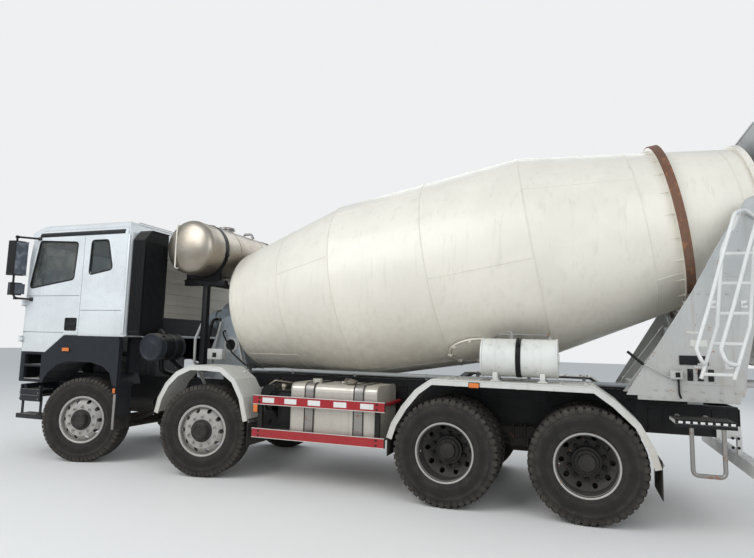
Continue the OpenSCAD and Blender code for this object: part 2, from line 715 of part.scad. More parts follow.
module wash_tank() color("gainsboro") place() {
    mid = -wash_front - wash_l / 2;
    translate([mid, wash_y, wash_z]) rotate([0, 90, 0]) {
        cylinder(h = wash_l - 20, d = wash_d - 16, center = true);
        for (s = [-1, 1]) translate([0, 0, s * (wash_l / 2 - 8)]) cylinder(h = 16, d = wash_d,
            center = true);
        cylinder(h = 50, d = wash_d - 4, center = true);
    }
    for (x = [mid - 230, mid + 230])
        difference() {
            block([x - 25, wash_y - 130, fender_3_z + fender_t + seat], [x + 25, wash_y + 130,
                wash_z - 120]);
            block([x - 26, wash_y - 90, fender_3_z - 20], [x + 26, wash_y + 90, wash_z - 190]);
        }
}

// Drum drive on the front pedestal
module drum_drive() color("slategray") place() difference() {
    union() {
        on_drum(-head_dish - 12 - reducer_l) {
            cylinder(h = reducer_l - 90, r1 = reducer_r - 60, r2 = reducer_r);
            translate([0, 0, reducer_l - 90]) cylinder(h = 90, r = reducer_r + 10);
            translate([0, 0, -motor_l]) cylinder(h = motor_l + 5, r = motor_r);
            translate([0, 0, -motor_l + 60]) cylinder(h = 90, r = motor_r + 25);
            translate([0, 0, reducer_l - 5]) cylinder(h = 100, r = output_r);
        }
        block([-1700, -240, 1745 + seat], [-1560, 240, 1860]);
    }
    on_drum(-head_dish + 95) cylinder(h = 500, r = 400);
}

// Drum
head_dish = 170;
head_bore = 40;
function cone_at(t) = barrel_r2 + (mouth_r - barrel_r2) * (t - rear_cone) / (drum_l - rear_cone);
function drum_skin(g) = concat(
    [[0, -head_dish + g]],
    [for (i = [1:4]) [(head_r - g) * sin(22.5 * i), (g - head_dish) * cos(22.5 * i)]],
    [[barrel_r1 - g, cone_l], [barrel_r2 - g, rear_cone]]);
module drum() color("antiquewhite") place() on_drum() difference() {
    union() {
        rotate_extrude($fn = 96) polygon(concat(drum_skin(0), [[mouth_r, drum_l], [0, drum_l]]));
        translate([0, 0, -head_dish - 6]) cylinder(h = 60, r = 240);
        translate([0, 0, drum_l - 60]) cylinder(h = 60, r = mouth_r + 45);
    }
    rotate_extrude($fn = 96) polygon(concat(
        [for (p = drum_skin(drum_t)) [p[0], max(p[1], 5 - head_dish + drum_t + 100)]],
        [[mouth_r - drum_t, drum_l], [mouth_r - drum_t, drum_l + 10], [0, drum_l + 10]]));
    translate([0, 0, -head_dish - 10]) cylinder(h = 10 + head_bore + 61, r = output_r + fit);
    // The barrel and the cones are rings of plate that meet at their seams
    for (t = [cone_l, rear_cone]) translate([0, 0, t]) cylinder(h = seat, r = 2 * barrel_r2);
}
module track_ring() color("#7a5137") place() on_drum() rotate_extrude($fn = 96)
    polygon([[cone_at(ring_t0) + seat, ring_t0], [ring_r, ring_t0], [ring_r, ring_out],
             [cone_at(ring_out) + seat, ring_out]]);

// Rollers under the track ring
shaft_r = 30;
module at_roller(side) {
    on_drum(ring_t0 + ring_w / 2)
        translate([-roller_c * cos(roller_a), side * roller_c * sin(roller_a), 0]) children();
}
module roller(side) color("#6d6a66") place() at_roller(side) difference() {
    union() {
        cylinder(h = roller_w, r = roller_r, center = true);
        cylinder(h = roller_w + 30, r = 55, center = true);
    }
    cylinder(h = 400, r = shaft_r + fit, center = true);
}

// Rear pedestal
plate_points = [[-6600, 0], [-7200, 2190], [-7420, 2620], [-7670, 3050], [-7860, 3120],
                [-7900, 2980], [-7760, 2500], [-7700, 1900], [-7620, 1500], [-7560, 0]];
module rear_pedestal() color("lightgray") place() {
    low = sub_top - 20;
    both() {
        difference() {
            across(plate_y - plate_t, plate_y)
                polygon([for (p = plate_points) [p[0], p[1] == 0 ? low : p[1]]]);
            across(plate_y - plate_t - 1, plate_y + 1)
                polygon(outline([[-6980, 1330, 40], [-7320, 2060, 40], [-7560, 2060, 60], [-7480,
                    1330, 40]]));
        }
        across(frame_w / 2, frame_w / 2 + 70)
            polygon([[-6600, low], [-6760, low], [-7180, 1790], [-7110, 1910]]);
        block([-7420, frame_w / 2, low], [-7340, frame_w / 2 + 70, 1840]);
    }
    for (x = [-6720, -7300])
        block([x - 40, 5 - plate_y, sub_top + seat], [x + 40, plate_y - 5, sub_top + 75]);
    difference() {
        block([-7440, 5 - plate_y, 1780], [-7110, plate_y - 5, 1880]);
        block([-7420, 20 - plate_y, 1790], [-7130, plate_y - 20, 1870]);
    }
    for (s = [-1, 1]) at_roller(s) {
        cylinder(h = roller_w + 130, r = shaft_r, center = true);
        for (z = [-1, 1]) translate([0, 0, z * (roller_w / 2 + 45)]) difference() {
            union() {
                cylinder(h = 24, r = 60, center = true);
                translate([-110, 0, 0]) cube([200, 120, 24], center = true);
            }
        }
    }
    // Head frame behind the mouth, which carries the hopper and the outlet
    both() bar([-7830, plate_y - 8, 3060], [-8080, plate_y - 8, 3060], 70);
    bar([-8080, 30 - plate_y, 3060], [-8080, plate_y - 30, 3060], 70);
    both() bar([-8080, plate_y - 38, 3060], [-7650, plate_y - 38, 1900], 60);
    // Swivel bracket
    both() bar([-7600, 420, 1300], [swivel_bracket, 45, 1300], 60);
    difference() {
        translate([-swivel_x, 0, 1240]) cylinder(h = 130, r = 75);
        translate([-swivel_x, 0, 1230]) cylinder(h = 150, r = 40 + fit);
    }
    block([-7600, -plate_y + 5, 1270], [-7560, plate_y - 5, 1340]);
}
swivel_bracket = -swivel_x + 45;

// Hopper and outlet: each is open at both ends, g inside its outer faces
module funnel(g) {
    e = g > 0 ? 1 : 0;
    x = -rear_reach;
    intersection() {
        across(-big, big) polygon([[x + g, hopper_z + e], [x + 700 - g, hopper_z + e],
                                   [x + 560 - g, 3380 - e], [x + 320 + g, 3380 - e]]);
        along(-4 * big, 0) polygon([[g - hopper_y, hopper_z + e], [hopper_y - g, hopper_z + e],
                                    [210 - g, 3380 - e], [g - 210, 3380 - e]]);
    }
}
module outlet(g) {
    e = g > 0 ? 1 : 0;
    intersection() {
        across(-big, big) polygon([[-8500 + g, 2700 + e], [-8090 - g, 2700 + e], [-8090 - g, 2400],
                                   [-7995 - g, 2310], [-8110 - g, 1990 - e], [-8350 + g, 1990 - e]]);
        along(-4 * big, 0) polygon([[g - 640, 2700 + e], [640 - g, 2700 + e], [640 - g, 2560],
                                    [190 - g, 1990 - e], [g - 190, 1990 - e], [g - 640, 2560]]);
    }
}
head_bar = [-8080, 3060];
module hopper() color("lightgray") place() {
    difference() { funnel(0); funnel(hopper_t); }
    difference() { outlet(0); outlet(hopper_t); }
    // Collar and posts under the funnel
    difference() {
        block([-8290, -250, 3396], [-7960, 250, 3412]);
        funnel(2);
    }
    both() block([head_bar[0] - 20, 212, head_bar[1] + 35 + seat], [head_bar[0] + 20, 248, 3400]);
    // Spout from the throat into the mouth of the drum
    difference() {
        across(-200, 200) polygon([[-8270, 3400], [-8270, 3330], [-7740, 2960], [-7700, 3010],
            [-7700, 3170], [-7980, 3400]]);
        across(-192, 192) polygon([[-8262, 3420], [-8262, 3334], [-7735, 2972], [-7690, 3000],
            [-7690, 3420]]);
    }
    // Ears that hang the outlet on the head frame
    both() block([-8095, 560, 2640], [head_bar[0] + 25, 600, head_bar[1] - 35 - seat]);
}

// Chute
module chute_swivel() color("lightgray") place() translate([-swivel_x, 0, 0]) {
    translate([0, 0, 1200]) cylinder(h = 170 + seat, r = 40);
    translate([0, 0, 1370 + seat]) cylinder(h = 40, r = 75);
    block([-60, -50, 1400], [60, 50, 1440]);
    for (s = [-1, 1]) difference() {
        block([s * 60 - 10, -60, 1400], [s * 60 + 10, 60, luff_z + 40]);
        translate([0, 0, luff_z]) rotate([0, 90, 0]) cylinder(h = 300, r = 20 + fit, center = true);
    }
    translate([0, 0, 1190]) cylinder(h = 10, r = 60);
}
chute_slope = 8;
module chute_profile(g) {
    r = chute_w / 2 - g;
    polygon(concat([[-r, 330], [-r, chute_w / 2]],
        [for (i = [1:7]) [-r * cos(22.5 * i), chute_w / 2 - r * sin(22.5 * i)]],
        [[r, chute_w / 2], [r, 330]]));
}
module chute() color("lightgray") place()
    translate([-swivel_x, 0, luff_z]) rotate([chute_slope, 0, 0]) {
        translate([0, 0, 70]) rotate([90, 0, 0]) translate([0, 0, -190]) linear_extrude(chute_l + 190)
            difference() { chute_profile(0); translate([0, chute_t]) chute_profile(chute_t); }
        rotate([0, 90, 0]) cylinder(h = 200, r = 20, center = true);
        block([-40, -40, -10], [40, 40, 85]);
        block([-45, -600, 50], [45, 60, 76]);
    }

// Ladder and rear steps
stile = [[-7185, 1262, 1390], [-7340, 1180, 1850], [-7410, 1150, 2540], [-7520, 1100, 2800]];
rung_z = [1420, 1690, 1960, 2230, 2500];
function stile_x(z) = lookup(z, [for (p = stile) [p[2], p[0]]]);
function stile_y(z) = lookup(z, [for (p = stile) [p[2], p[1]]]);
module ladder() color("white") place() {
    for (x = [0, -ladder_w]) translate([x, 0, 0]) {
        bars(stile, ladder_d, 120);
        for (z = [1500, 2060])
            bar([stile_x(z), stile_y(z), z], [stile_x(z), plate_y + seat, z], ladder_d - 8);
    }
    for (z = rung_z) translate([stile_x(z), stile_y(z), z]) bar([0, 0, 0], [-ladder_w, 0, 0],
        ladder_d - 6);
    block([-7450, 900, 980], [-6970, 1240, 1010]);
    for (x = [-7100, -7350]) {
        bar([x, frame_w / 2 + seat, 962], [x, 1200, 962], 50);
    }
    bars([[-7100, 1215, 985], [-7100, 1225, 545], [-7350, 1225, 545], [-7350, 1215, 985]], 30, 50);
    // Underrun bar
    block([-rail_back - 60, -1200, 520], [-rail_back + 40, 1200, 640]);
    both() block([-rail_back - 10, frame_w / 2 + seat, 600], [-rail_back + 30, frame_w / 2 + 60,
        rail_z + 30]);
    both() block([-rail_back - 10, frame_w / 2 + seat, rail_z], [-rail_back + 200, frame_w / 2 + 40,
        rail_z + 120]);
}

// Lamps
module lamps() color("orange") place() {
    both() {
        block([front_reach - 52 + seat, 650, bumper_z + 60], [front_reach - 12, 950, bumper_top - 50]);
        block([-rail_back - 100, 700, 540], [-rail_back - 60 - seat, 1120, 625]);
        block([-guard_front - 62, guard_y - 20, 868], [-guard_front - 2, guard_y, guard_top_z - seat]);
    }
}

// Air intake behind the cab
intake_x = [-925, -730];
module air_intake() color("#2b2d30") place() {
    along(intake_x[0], intake_x[1])
        polygon(outline([[770, 1650, 30], [1205, 1650, 30], [1205, 2880, 60], [1100, 3010, 60], [770,
            3010, 30]]));
    bars([[-830, 800, 1700], [-830, 640, 1700], [-830, 640, 1180], [-830, frame_w / 2 - 30, 1120]],
        70, 80);
    translate([-1090, 700, 1500]) rotate([-90, 0, 0]) cylinder(h = 460, r = 165);
    bar([-1000, 820, 1560], [-880, 820, 1700], 130);
    bar([-1090, 760, 1340], [-1090, frame_w / 2 - 30, 1120], 60);
    block([-1130, frame_w / 2 - rail_b + 5, rail_top + seat], [-790, frame_w / 2 - 5, rail_top + 60]);
}

// Cab
function cab_side(g) = [
    [cab_front - g, sill_z + g, 30], [cab_front - g, screen_z, 200],
    [cab_front - 155 - g, 2925, 20], [cab_front - 100 - g, roof_z - 100, 60],
    [cab_front - 250, roof_z - g, 120], [-cab_back + 150, roof_z - g, 120],
    [-cab_back + g, side_top - 20, 60], [-cab_back + g, arch_z + g, 30],
    [300 + g, arch_z + g, 60], [620 + g, sill_z + g, 40]];
function cab_cross(g) = [
    [g - cab_w / 2, sill_z - 1, 0], [cab_w / 2 - g, sill_z - 1, 0], [cab_w / 2 - g, side_top, 90],
    [roof_w / 2, roof_z - g, 120], [-roof_w / 2, roof_z - g, 120], [g - cab_w / 2, side_top, 90]];
function cab_plan(g) = [
    [-cab_back + g, g - cab_w / 2, 60], [cab_front - 25 - g, g - cab_w / 2, corner_r],
    [cab_front - g, -300, 0], [cab_front - g, 300, 0],
    [cab_front - 25 - g, cab_w / 2 - g, corner_r], [-cab_back + g, cab_w / 2 - g, 60]];
module cab_solid(g) {
    intersection() {
        across(-big, big) polygon(outline(cab_side(g)));
        along(-big, big) polygon(outline(cab_cross(g)));
        rise(0, 2 * big) polygon(outline(cab_plan(g)));
    }
}
// Door outline grown by g, and the windows
function door_outline(g) = [
    [door_front + g, sill_z + 6 - g], [630 - g, sill_z + 6 - g], [310 - g, arch_z + 8 - g],
    [door_back - g, arch_z + 8 - g], [door_back - g, door_top + g], [cab_front - 250 + g, door_top + g],
    [door_front + g, screen_z + 60 + g / 2]];
function door_window(g) = [
    [1020 - g, 2255 + g, 40], [225 + g, 2375 + g, 50], [190 + g, 2880 - g, 50], [880 - g, 2920 - g, 60]];
function rear_window(g) = [
    [-35 - g, 2430 + g, 60], [-430 + g, 2500 + g, 70], [-330 + g, 2895 - g, 60], [-50 - g, 2895 - g, 60]];
function screen(g) = [
    [g - 1080, 2190 + g, 60], [1080 - g, 2190 + g, 60], [1040 - g, 2890 - g, 80], [g - 1040,
        2890 - g, 80]];
module door_prism(g) {
    across(cab_w / 2 - cab_wall - g, cab_w / 2 + 60) polygon(door_outline(g));
}
hinge_y = cab_w / 2 + 17;
hinge_x = door_front + 4;
hinge_zs = [1560, 2050];
hinge_h = 50;
module hinge_lugs() {
    for (z = hinge_zs) translate([hinge_x, hinge_y, z]) {
        cylinder(h = hinge_h + 32, r = 7, center = true);
        for (s = [-1, 1]) translate([0, 0, s * (hinge_h / 2 + 8.5)]) {
            cylinder(h = 16, r = 15, center = true);
            translate([0, -52, -8]) cube([34, 56, 16]);
        }
    }
}
module cab_shell() color("#e9ecec") place() {
    difference() {
        cab_solid(0);
        cab_solid(cab_wall);
        both() door_prism(door_gap);
        both() across(cab_w / 2 - cab_wall - 60, cab_w / 2 + 60) polygon(outline(rear_window(0)));
        along(700, 1300) polygon(outline(screen(0)));
    }
    both() intersection() {
        hinge_lugs();
        block([hinge_x - 20, cab_w / 2 - 40, 0], [hinge_x + 60, cab_w / 2 + 60, big]);
    }
    // Tilt hinge arms
    both() {
        difference() {
            union() {
                block([tilt_x - 35, 346, tilt_z], [tilt_x + 35, 376, sill_z + 10]);
                translate([tilt_x, 346, tilt_z]) rotate([-90, 0, 0]) cylinder(h = 30, r = 35);
            }
        }
        translate([tilt_x, 296, tilt_z]) rotate([-90, 0, 0]) cylinder(h = 60, r = tilt_r);
    }
}
module pane_shell() {
    difference() { cab_solid(14); cab_solid(14 + glass_t); }
}
module cab_glass() color("#5c6b70") place() intersection() {
    pane_shell();
    union() {
        both() across(cab_w / 2 - cab_wall - 60, cab_w / 2 + 60) polygon(outline(rear_window(seat)));
        along(700, 1300) polygon(outline(screen(seat)));
    }
}
module door() color("#eceeee") place() {
    difference() {
        intersection() {
            difference() { cab_solid(0); cab_solid(cab_wall); }
            door_prism(0);
        }
        across(cab_w / 2 - cab_wall - 60, cab_w / 2 + 60) polygon(outline(door_window(0)));
        across(cab_w / 2 - 14, cab_w / 2 + 1) polygon(outline([[110, 1685, 20], [320, 1685, 20],
            [320, 1855, 20], [110, 1855, 20]]));
    }
    for (z = hinge_zs) translate([hinge_x, hinge_y, z]) difference() {
        union() {
            cylinder(h = hinge_h, r = 15, center = true);
            translate([-50, -30, -hinge_h / 2]) cube([46, 44, hinge_h]);
            translate([-50, -4, -hinge_h / 2]) cube([50, 18, hinge_h]);
        }
        cylinder(h = hinge_h + 2, r = 7 + fit, center = true);
    }
}
module door_glass() color("#5c6b70") place() intersection() {
    pane_shell();
    across(cab_w / 2 - cab_wall - 60, cab_w / 2 + 60) polygon(outline(door_window(seat)));
}
module door_mirror() color("#1f2022") place() {
    y = cab_w / 2;
    block([935, y + seat, 2080], [990, y + 16, 2130]);
    block([868, y + seat, 2930], [918, y + 16, 2970]);
    low_bend = [1020, mirror_y - 60, 2105];
    high_bend = [1072, mirror_y - 50, 2950];
    for (p = [low_bend, high_bend]) block(p - [17, 17, 17], p + [17, 17, 17]);
    bar([960, y + 10, 2105], low_bend, 28, 12);
    bar(low_bend, [1072, mirror_y - 50, 2180], 28, 12);
    bar([1072, mirror_y - 50, 2290], [1072, mirror_y - 50, 2450], 28, 12);
    bar([1072, mirror_y - 50, 2840], high_bend, 28, 12);
    bar(high_bend, [900, y + 14, 2950], 28, 12);
    rise(2420, 2895) polygon(outline([[985, mirror_y - 165, 30], [1075, mirror_y - 150, 20],
                                      [1180, mirror_y - 40, 12], [1170, mirror_y, 12], [1060,
                                          mirror_y - 20, 30]]));
    rise(2150, 2320) polygon(outline([[1000, mirror_y - 160, 30], [1080, mirror_y - 150, 20],
                                      [1165, mirror_y - 40, 16], [1055, mirror_y - 2, 16]]));
}
module cab_trim() color("#34363a") place() {
    // Front grille panel
    difference() {
        intersection() {
            rise(panel_z, sill_z - seat) difference() {
                polygon(outline(cab_plan(0)));
                polygon(outline(cab_plan(cab_wall)));
            }
            block([900, -700, 0], [1300, 700, big]);
        }
        for (z = [1030, 1110, 1190, 1270]) block([1100, -620, z], [1300, 620, z + 45]);
    }
    for (y = [-620, -360, 310, 570]) block([1132, y, panel_z + 10], [1162, y + 50, sill_z - 10]);
    // Sun visor
    across(-1060, 1060) polygon([[1062, 3040], [1050, 3080], [1200, 2975 + 20], [1190, 2975]]);
    both() across(800, 830) polygon([[1054.4, 3030], [1066.4, 3060], [1130, 3060], [1130, 3030]]);
}

flare_points = [[600, panel_z], [585, panel_z + 60], [500, 1140], [360, 1235], [180, flare_arch_z],
                [-220, flare_arch_z], [-420, 1240], [-540, 1160], [-600, 1000]];
module front_flares() color("#3a3c40") place() both() {
    difference() {
        union() {
            intersection() {
                rise(panel_z, sill_z - seat) difference() {
                    polygon(outline(cab_plan(0)));
                    polygon(outline(cab_plan(cab_wall)));
                }
                block([585, 705, 0], [1300, 1300, big]);
            }
            across(flare_y - 60, flare_y)
                polygon(concat(flare_points, [[-660, 1000], [-665, 1560], [-640, arch_z - seat],
                    [278, arch_z - seat], [330, arch_z - 28], [610, sill_z - 8], [660, sill_z - 20],
                        [660, panel_z]]));
        }
        for (z = [[1025, 1190], [1215, 1365]])
            block([step_x[0], cab_w / 2 - cab_wall - 1, z[0]], [step_x[1], flare_y + 1, z[1]]);
    }
    strip(flare_points, -8, 0, 760, flare_y - 30);
    for (z = [1195, 1005]) block([step_x[0] - 10, cab_w / 2 - 230, z], [step_x[1] + 10,
        cab_w / 2 - 5, z + 20]);
    block([-640, 960, flap_z], [-630, flare_y - 10, 1010]);
    block([-660, 960, 990], [-600, flare_y - 10, 1040]);
    block([-620, 800, 1150], [-560, 1000, arch_z - seat]);
}

// Cab interior
module seat_at(y) {
    translate([0, y, 0]) {
        across(-250, 250) polygon(outline([[-120, 1870, 40], [420, 1890, 50], [420, 2010, 60], [-120,
            1985, 40]]));
        across(-240, 240) polygon(outline([[-150, 1960, 40], [-20, 1990, 50], [-130, 2620, 50],
            [-250, 2610, 50]]));
        across(-140, 140) polygon(outline([[-160, 2600, 20], [-200, 2600, 20], [-240, 2820, 40],
            [-150, 2820, 40]]));
        block([-60, -180, arch_z + cab_wall + seat], [290, 180, 1880]);
    }
}
module seats() color("#3d4046") place() { both() seat_at(680); }
module dashboard() color("#54575a") place() {
    intersection() {
        cab_solid(cab_wall + seat);
        across(-1140, 1140) polygon(outline([[cab_front, 1900, 0], [cab_front, 2150, 0],
            [900, 2180, 60], [780, 2080, 50], [860, 1880, 60]]));
    }
    bar([900, 680, 1450], [760, 680, 2110], 70);
    translate([700, 680, 2150]) rotate([0, -30, 0]) {
        rotate_extrude() translate([215, 0]) circle(r = 17, $fn = 24);
        translate([0, 0, -30]) cylinder(h = 45, r = 55);
        for (a = [90, 210, 330]) rotate([0, 0, a]) bar([40, 0, -5], [212, 0, 0], 24);
        translate([0, 0, -110]) cylinder(h = 100, r = 35);
    }
    block([840, 600, sill_z + cab_wall + seat], [960, 760, sill_z + cab_wall + 80]);
}

// Knuckles and tie rods
module knuckle() {
    z0 = tyre_r - eye_h / 2;
    z1 = tyre_r + eye_h / 2;
    translate([0, 0, z0 - 40]) cylinder(h = eye_h + 80, r = kingpin_r);
    for (z = [z0 - 40, z1 + seat]) hull() {
        translate([0, 0, z]) cylinder(h = 40 - seat, r = eye_r, $fn = 32);
        translate([-eye_r, eye_r + 7, z]) cube([2 * eye_r, 18, 40 - seat]);
    }
    block([-eye_r, eye_r + 7, z0 - 40], [eye_r, eye_r + 26, z1 + 40]);
    outboard(eye_r + 8) cylinder(h = 12, r = brake_r - 12);
    outboard(eye_r + 8) cylinder(h = wheel_out + 60 - eye_r, r = spindle_r);
    difference() {
        union() {
            block([-arm_l, -22, arm_z], [0, 22, arm_z + arm_t]);
            translate([-arm_l, 0, arm_z]) cylinder(h = arm_t, r = 27);
            translate([0, 0, arm_z]) cylinder(h = arm_t, r = eye_r);
        }
        translate([-arm_l, 0, arm_z - 5]) cylinder(h = arm_t + 10, r = 12 + fit);
    }
}
module steering_knuckle(i, side) color("#404144") place() steered(i, side) knuckle();
module tie_rod(i) color("#2f3032") place() {
    a = i == 0 ? steer_rest : steer_2;
    translate([axles[i] - arm_l * cos(a), -arm_l * sin(a), 0]) {
        both() translate([0, kingpin_y, 0]) {
            translate([0, 0, arm_z - seat - 54]) cylinder(h = 54, r = 30);
            translate([0, 0, arm_z - 40]) cylinder(h = arm_t + 50, r = 12);
        }
        translate([0, 0, arm_z - 28]) rotate([90, 0, 0]) cylinder(h = 2 * kingpin_y, d = tie_d,
            center = true);
    }
}

// Wheels
hole_n = 10;
rim_t = 10;
lip_t = 10;
disc_t = 14;
disc_r = 200;
module rim_barrel(z) {
    h = rim_w / 2;
    translate([0, 0, z]) rotate_extrude()
        polygon([[seat_r - rim_t, -h], [flange_r, -h], [flange_r, -h + lip_t], [seat_r, -h + lip_t],
                 [seat_r, h - lip_t], [flange_r, h - lip_t], [flange_r, h], [seat_r - rim_t, h]]);
}
// The disc runs from the bolt face at z to the barrel, dish deep
module rim_disc(z, dish) {
    difference() {
        rotate_extrude() polygon([[0, z - disc_t], [disc_r, z - disc_t], [seat_r - rim_t + 1,
            z - dish - disc_t],
                                  [seat_r - rim_t + 1, z - dish], [disc_r + 4, z], [0, z]]);
        for (k = [0:hole_n - 1]) rotate([0, 0, 360 / hole_n * k])
            translate([disc_r + 34, 0, z - dish - 60]) cylinder(h = dish + 120, r = 26, $fn = 24);
    }
}
module front_rim(i, side) color("silver") place() steered(i, side) outboard(wheel_out) difference() {
    union() {
        rim_barrel(0);
        rim_disc(front_dish, 70);
        translate([0, 0, front_dish - 2]) cylinder(h = 72, r = 95);
        cylinder(h = front_dish - disc_t + 1, r = 140);
        translate([0, 0, 20 - wheel_out + eye_r + 12]) rotate_extrude() polygon([[100, 130], [100, 145],
            [brake_r, 145], [brake_r, 0], [brake_r - 15, 0], [brake_r - 15, 130]]);
    }
    translate([0, 0, -50]) cylinder(h = 50 + 62 + 10 + seat, r = spindle_r + fit);
}
module rear_rim(i, side) color("#8d8c88") place() rear_end(i, side) difference() {
    union() {
        for (s = [-1, 1]) {
            rim_barrel(s * dual_gap / 2);
            mirror([0, 0, s > 0 ? 1 : 0]) rim_disc(0, 62);
        }
        translate([0, 0, -60]) cylinder(h = 140, r = 140);
        translate([0, 0, 75]) cylinder(h = 30, r = 105);
        rotate_extrude() polygon([[100, -55], [100, -40], [brake_r, -40], [brake_r, -238],
                                  [brake_r - 15, -238], [brake_r - 15, -55]]);
    }
    translate([0, 0, -300]) cylinder(h = 372, r = spindle_r + fit);
}
module tyre_ring() {
    h = tyre_w / 2;
    b = rim_w / 2 - lip_t - seat;
    rotate_extrude()
        polygon([[seat_r + seat, -b], [flange_r + 2, -b], [flange_r + 26, 10 - h], [flange_r + 110, -h],
                 [tyre_r - 30, 15 - h], [tyre_r, 42 - h], [tyre_r, h - 42], [tyre_r - 30, h - 15],
                 [flange_r + 110, h], [flange_r + 26, h - 10], [flange_r + 2, b], [seat_r + seat, b]]);
}
module front_tyre(i, side) color("#35332f") place() steered(i, side) outboard(wheel_out) tyre_ring();
module rear_tyre(i, side) color("#35332f") place() rear_end(i, side)
    for (s = [-1, 1]) translate([0, 0, s * dual_gap / 2]) tyre_ring();

frame_rails();
mixer_subframe();
front_axles();
rear_axles();
powertrain();
bumper();
fuel_tank();
side_gear();
side_guards();
fenders();
water_tank();
wash_tank();
drum_drive();
rear_pedestal();
hopper();
ladder();
lamps();
air_intake();
cab_shell();
cab_glass();
cab_trim();
front_flares();
seats();
dashboard();
door();  // door_left
mirror([0, 1, 0]) door();  // door_right
door_glass();  // door_glass_left
mirror([0, 1, 0]) door_glass();  // door_glass_right
door_mirror();  // mirror_left
mirror([0, 1, 0]) door_mirror();  // mirror_right
steering_knuckle(0, 1);  // knuckle_1l
steering_knuckle(0, -1);  // knuckle_1r
steering_knuckle(1, 1);  // knuckle_2l
steering_knuckle(1, -1);  // knuckle_2r
tie_rod(0);  // tie_rod_1
tie_rod(1);  // tie_rod_2
drum();
track_ring();
roller(1);  // roller_left
roller(-1);  // roller_right
chute_swivel();
chute();
front_rim(0, 1);  // rim_1l
front_rim(0, -1);  // rim_1r
front_rim(1, 1);  // rim_2l
front_rim(1, -1);  // rim_2r
rear_rim(2, 1);  // rim_3l
rear_rim(2, -1);  // rim_3r
rear_rim(3, 1);  // rim_4l
rear_rim(3, -1);  // rim_4r
front_tyre(0, 1);  // tyre_1l
front_tyre(0, -1);  // tyre_1r
front_tyre(1, 1);  // tyre_2l
front_tyre(1, -1);  // tyre_2r
rear_tyre(2, 1);  // tyre_3l
rear_tyre(2, -1);  // tyre_3r
rear_tyre(3, 1);  // tyre_4l
rear_tyre(3, -1);  // tyre_4r
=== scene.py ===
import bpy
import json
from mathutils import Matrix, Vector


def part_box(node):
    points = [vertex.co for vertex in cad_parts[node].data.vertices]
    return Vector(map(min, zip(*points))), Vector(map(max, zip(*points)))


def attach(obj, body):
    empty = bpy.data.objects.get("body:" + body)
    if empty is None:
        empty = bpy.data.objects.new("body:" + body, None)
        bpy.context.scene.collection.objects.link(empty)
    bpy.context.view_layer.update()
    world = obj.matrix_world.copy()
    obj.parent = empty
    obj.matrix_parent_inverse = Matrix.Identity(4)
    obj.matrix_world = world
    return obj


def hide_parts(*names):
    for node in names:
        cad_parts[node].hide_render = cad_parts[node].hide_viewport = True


bl_info = {
    "name": "Concrete mixer truck",
    "version": (1, 0, 0),
    "blender": (4, 5, 0),
    "location": "View3D > Sidebar > Mixer truck",
    "description": "Dresses the packed mixer truck with its finishes, treads, fasteners and trim",
    "category": "Add Mesh",
}

import json
import math

import bpy
from mathutils import Matrix, Vector

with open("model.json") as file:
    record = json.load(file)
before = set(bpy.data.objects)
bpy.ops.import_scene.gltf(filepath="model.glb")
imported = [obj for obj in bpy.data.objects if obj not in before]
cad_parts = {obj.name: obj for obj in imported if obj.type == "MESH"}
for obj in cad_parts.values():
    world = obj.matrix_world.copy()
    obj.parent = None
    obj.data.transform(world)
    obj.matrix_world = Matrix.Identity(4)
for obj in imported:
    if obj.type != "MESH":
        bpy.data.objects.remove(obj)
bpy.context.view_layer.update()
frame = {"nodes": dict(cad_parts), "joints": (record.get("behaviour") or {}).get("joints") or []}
JOINTS = {j["name"]: j for j in frame["joints"]}
AXLE_1 = JOINTS["steer_1l"]["pos_m"][0]
WHEELS = ("1l", "1r", "2l", "2r", "3l", "3r", "4l", "4r")
DRUM_AXIS = Vector(JOINTS["drum_spin"]["axis"]).normalized()
X, Y, Z = Vector((1, 0, 0)), Vector((0, 1, 0)), Vector((0, 0, 1))


# Modelling

SHARP = math.radians(35)  # edges that turn more than this are rounded
DOUBLED = 0.00002  # points closer than this become one


def at(x, y, z):
    """A point measured forward from axle 1, left from the middle and up from the ground."""
    return Vector((x + AXLE_1, y, z))


def clear():
    if bpy.context.object and bpy.context.object.mode != "OBJECT":
        bpy.ops.object.mode_set(mode="OBJECT")
    bpy.ops.object.select_all(action="DESELECT")


def pick(piece):
    clear()
    piece.select_set(True)
    bpy.context.view_layer.objects.active = piece
    return piece


def settle():
    """Moves the selected object's place into its mesh."""
    bpy.ops.object.transform_apply(location=True, rotation=True, scale=True)
    return bpy.context.object


def edit(piece):
    pick(piece)
    bpy.ops.object.mode_set(mode="EDIT")
    bpy.ops.mesh.select_mode(type="VERT")
    bpy.ops.mesh.select_all(action="SELECT")


def done():
    bpy.ops.object.mode_set(mode="OBJECT")
    return bpy.context.object


def grid(xs, ys, zs):
    """The points where the given values of x, y and z meet; one number stands for itself."""
    xs, ys, zs = ((v,) if isinstance(v, (int, float)) else v for v in (xs, ys, zs))
    return [at(x, y, z) for x in xs for y in ys for z in zs]


def facing(direction):
    """The turn that points Z along a direction."""
    return Vector(direction).to_track_quat("Z", "Y")


def remove(*pieces):
    for piece in pieces:
        bpy.data.objects.remove(piece)


def modify(piece, kind, **values):
    """Adds a modifier with the given values to a piece and applies it."""
    pick(piece)
    modifier = piece.modifiers.new(kind, kind)
    for key, value in values.items():
        setattr(modifier, key, value)
    bpy.ops.object.modifier_apply(modifier=modifier.name)
    return piece


def soften(piece, width, segments=2):
    """Rounds the sharp edges of a piece."""
    if width <= 0:
        return piece
    return modify(piece, "BEVEL", width=width, segments=segments, limit_method="ANGLE", angle_limit=SHARP)


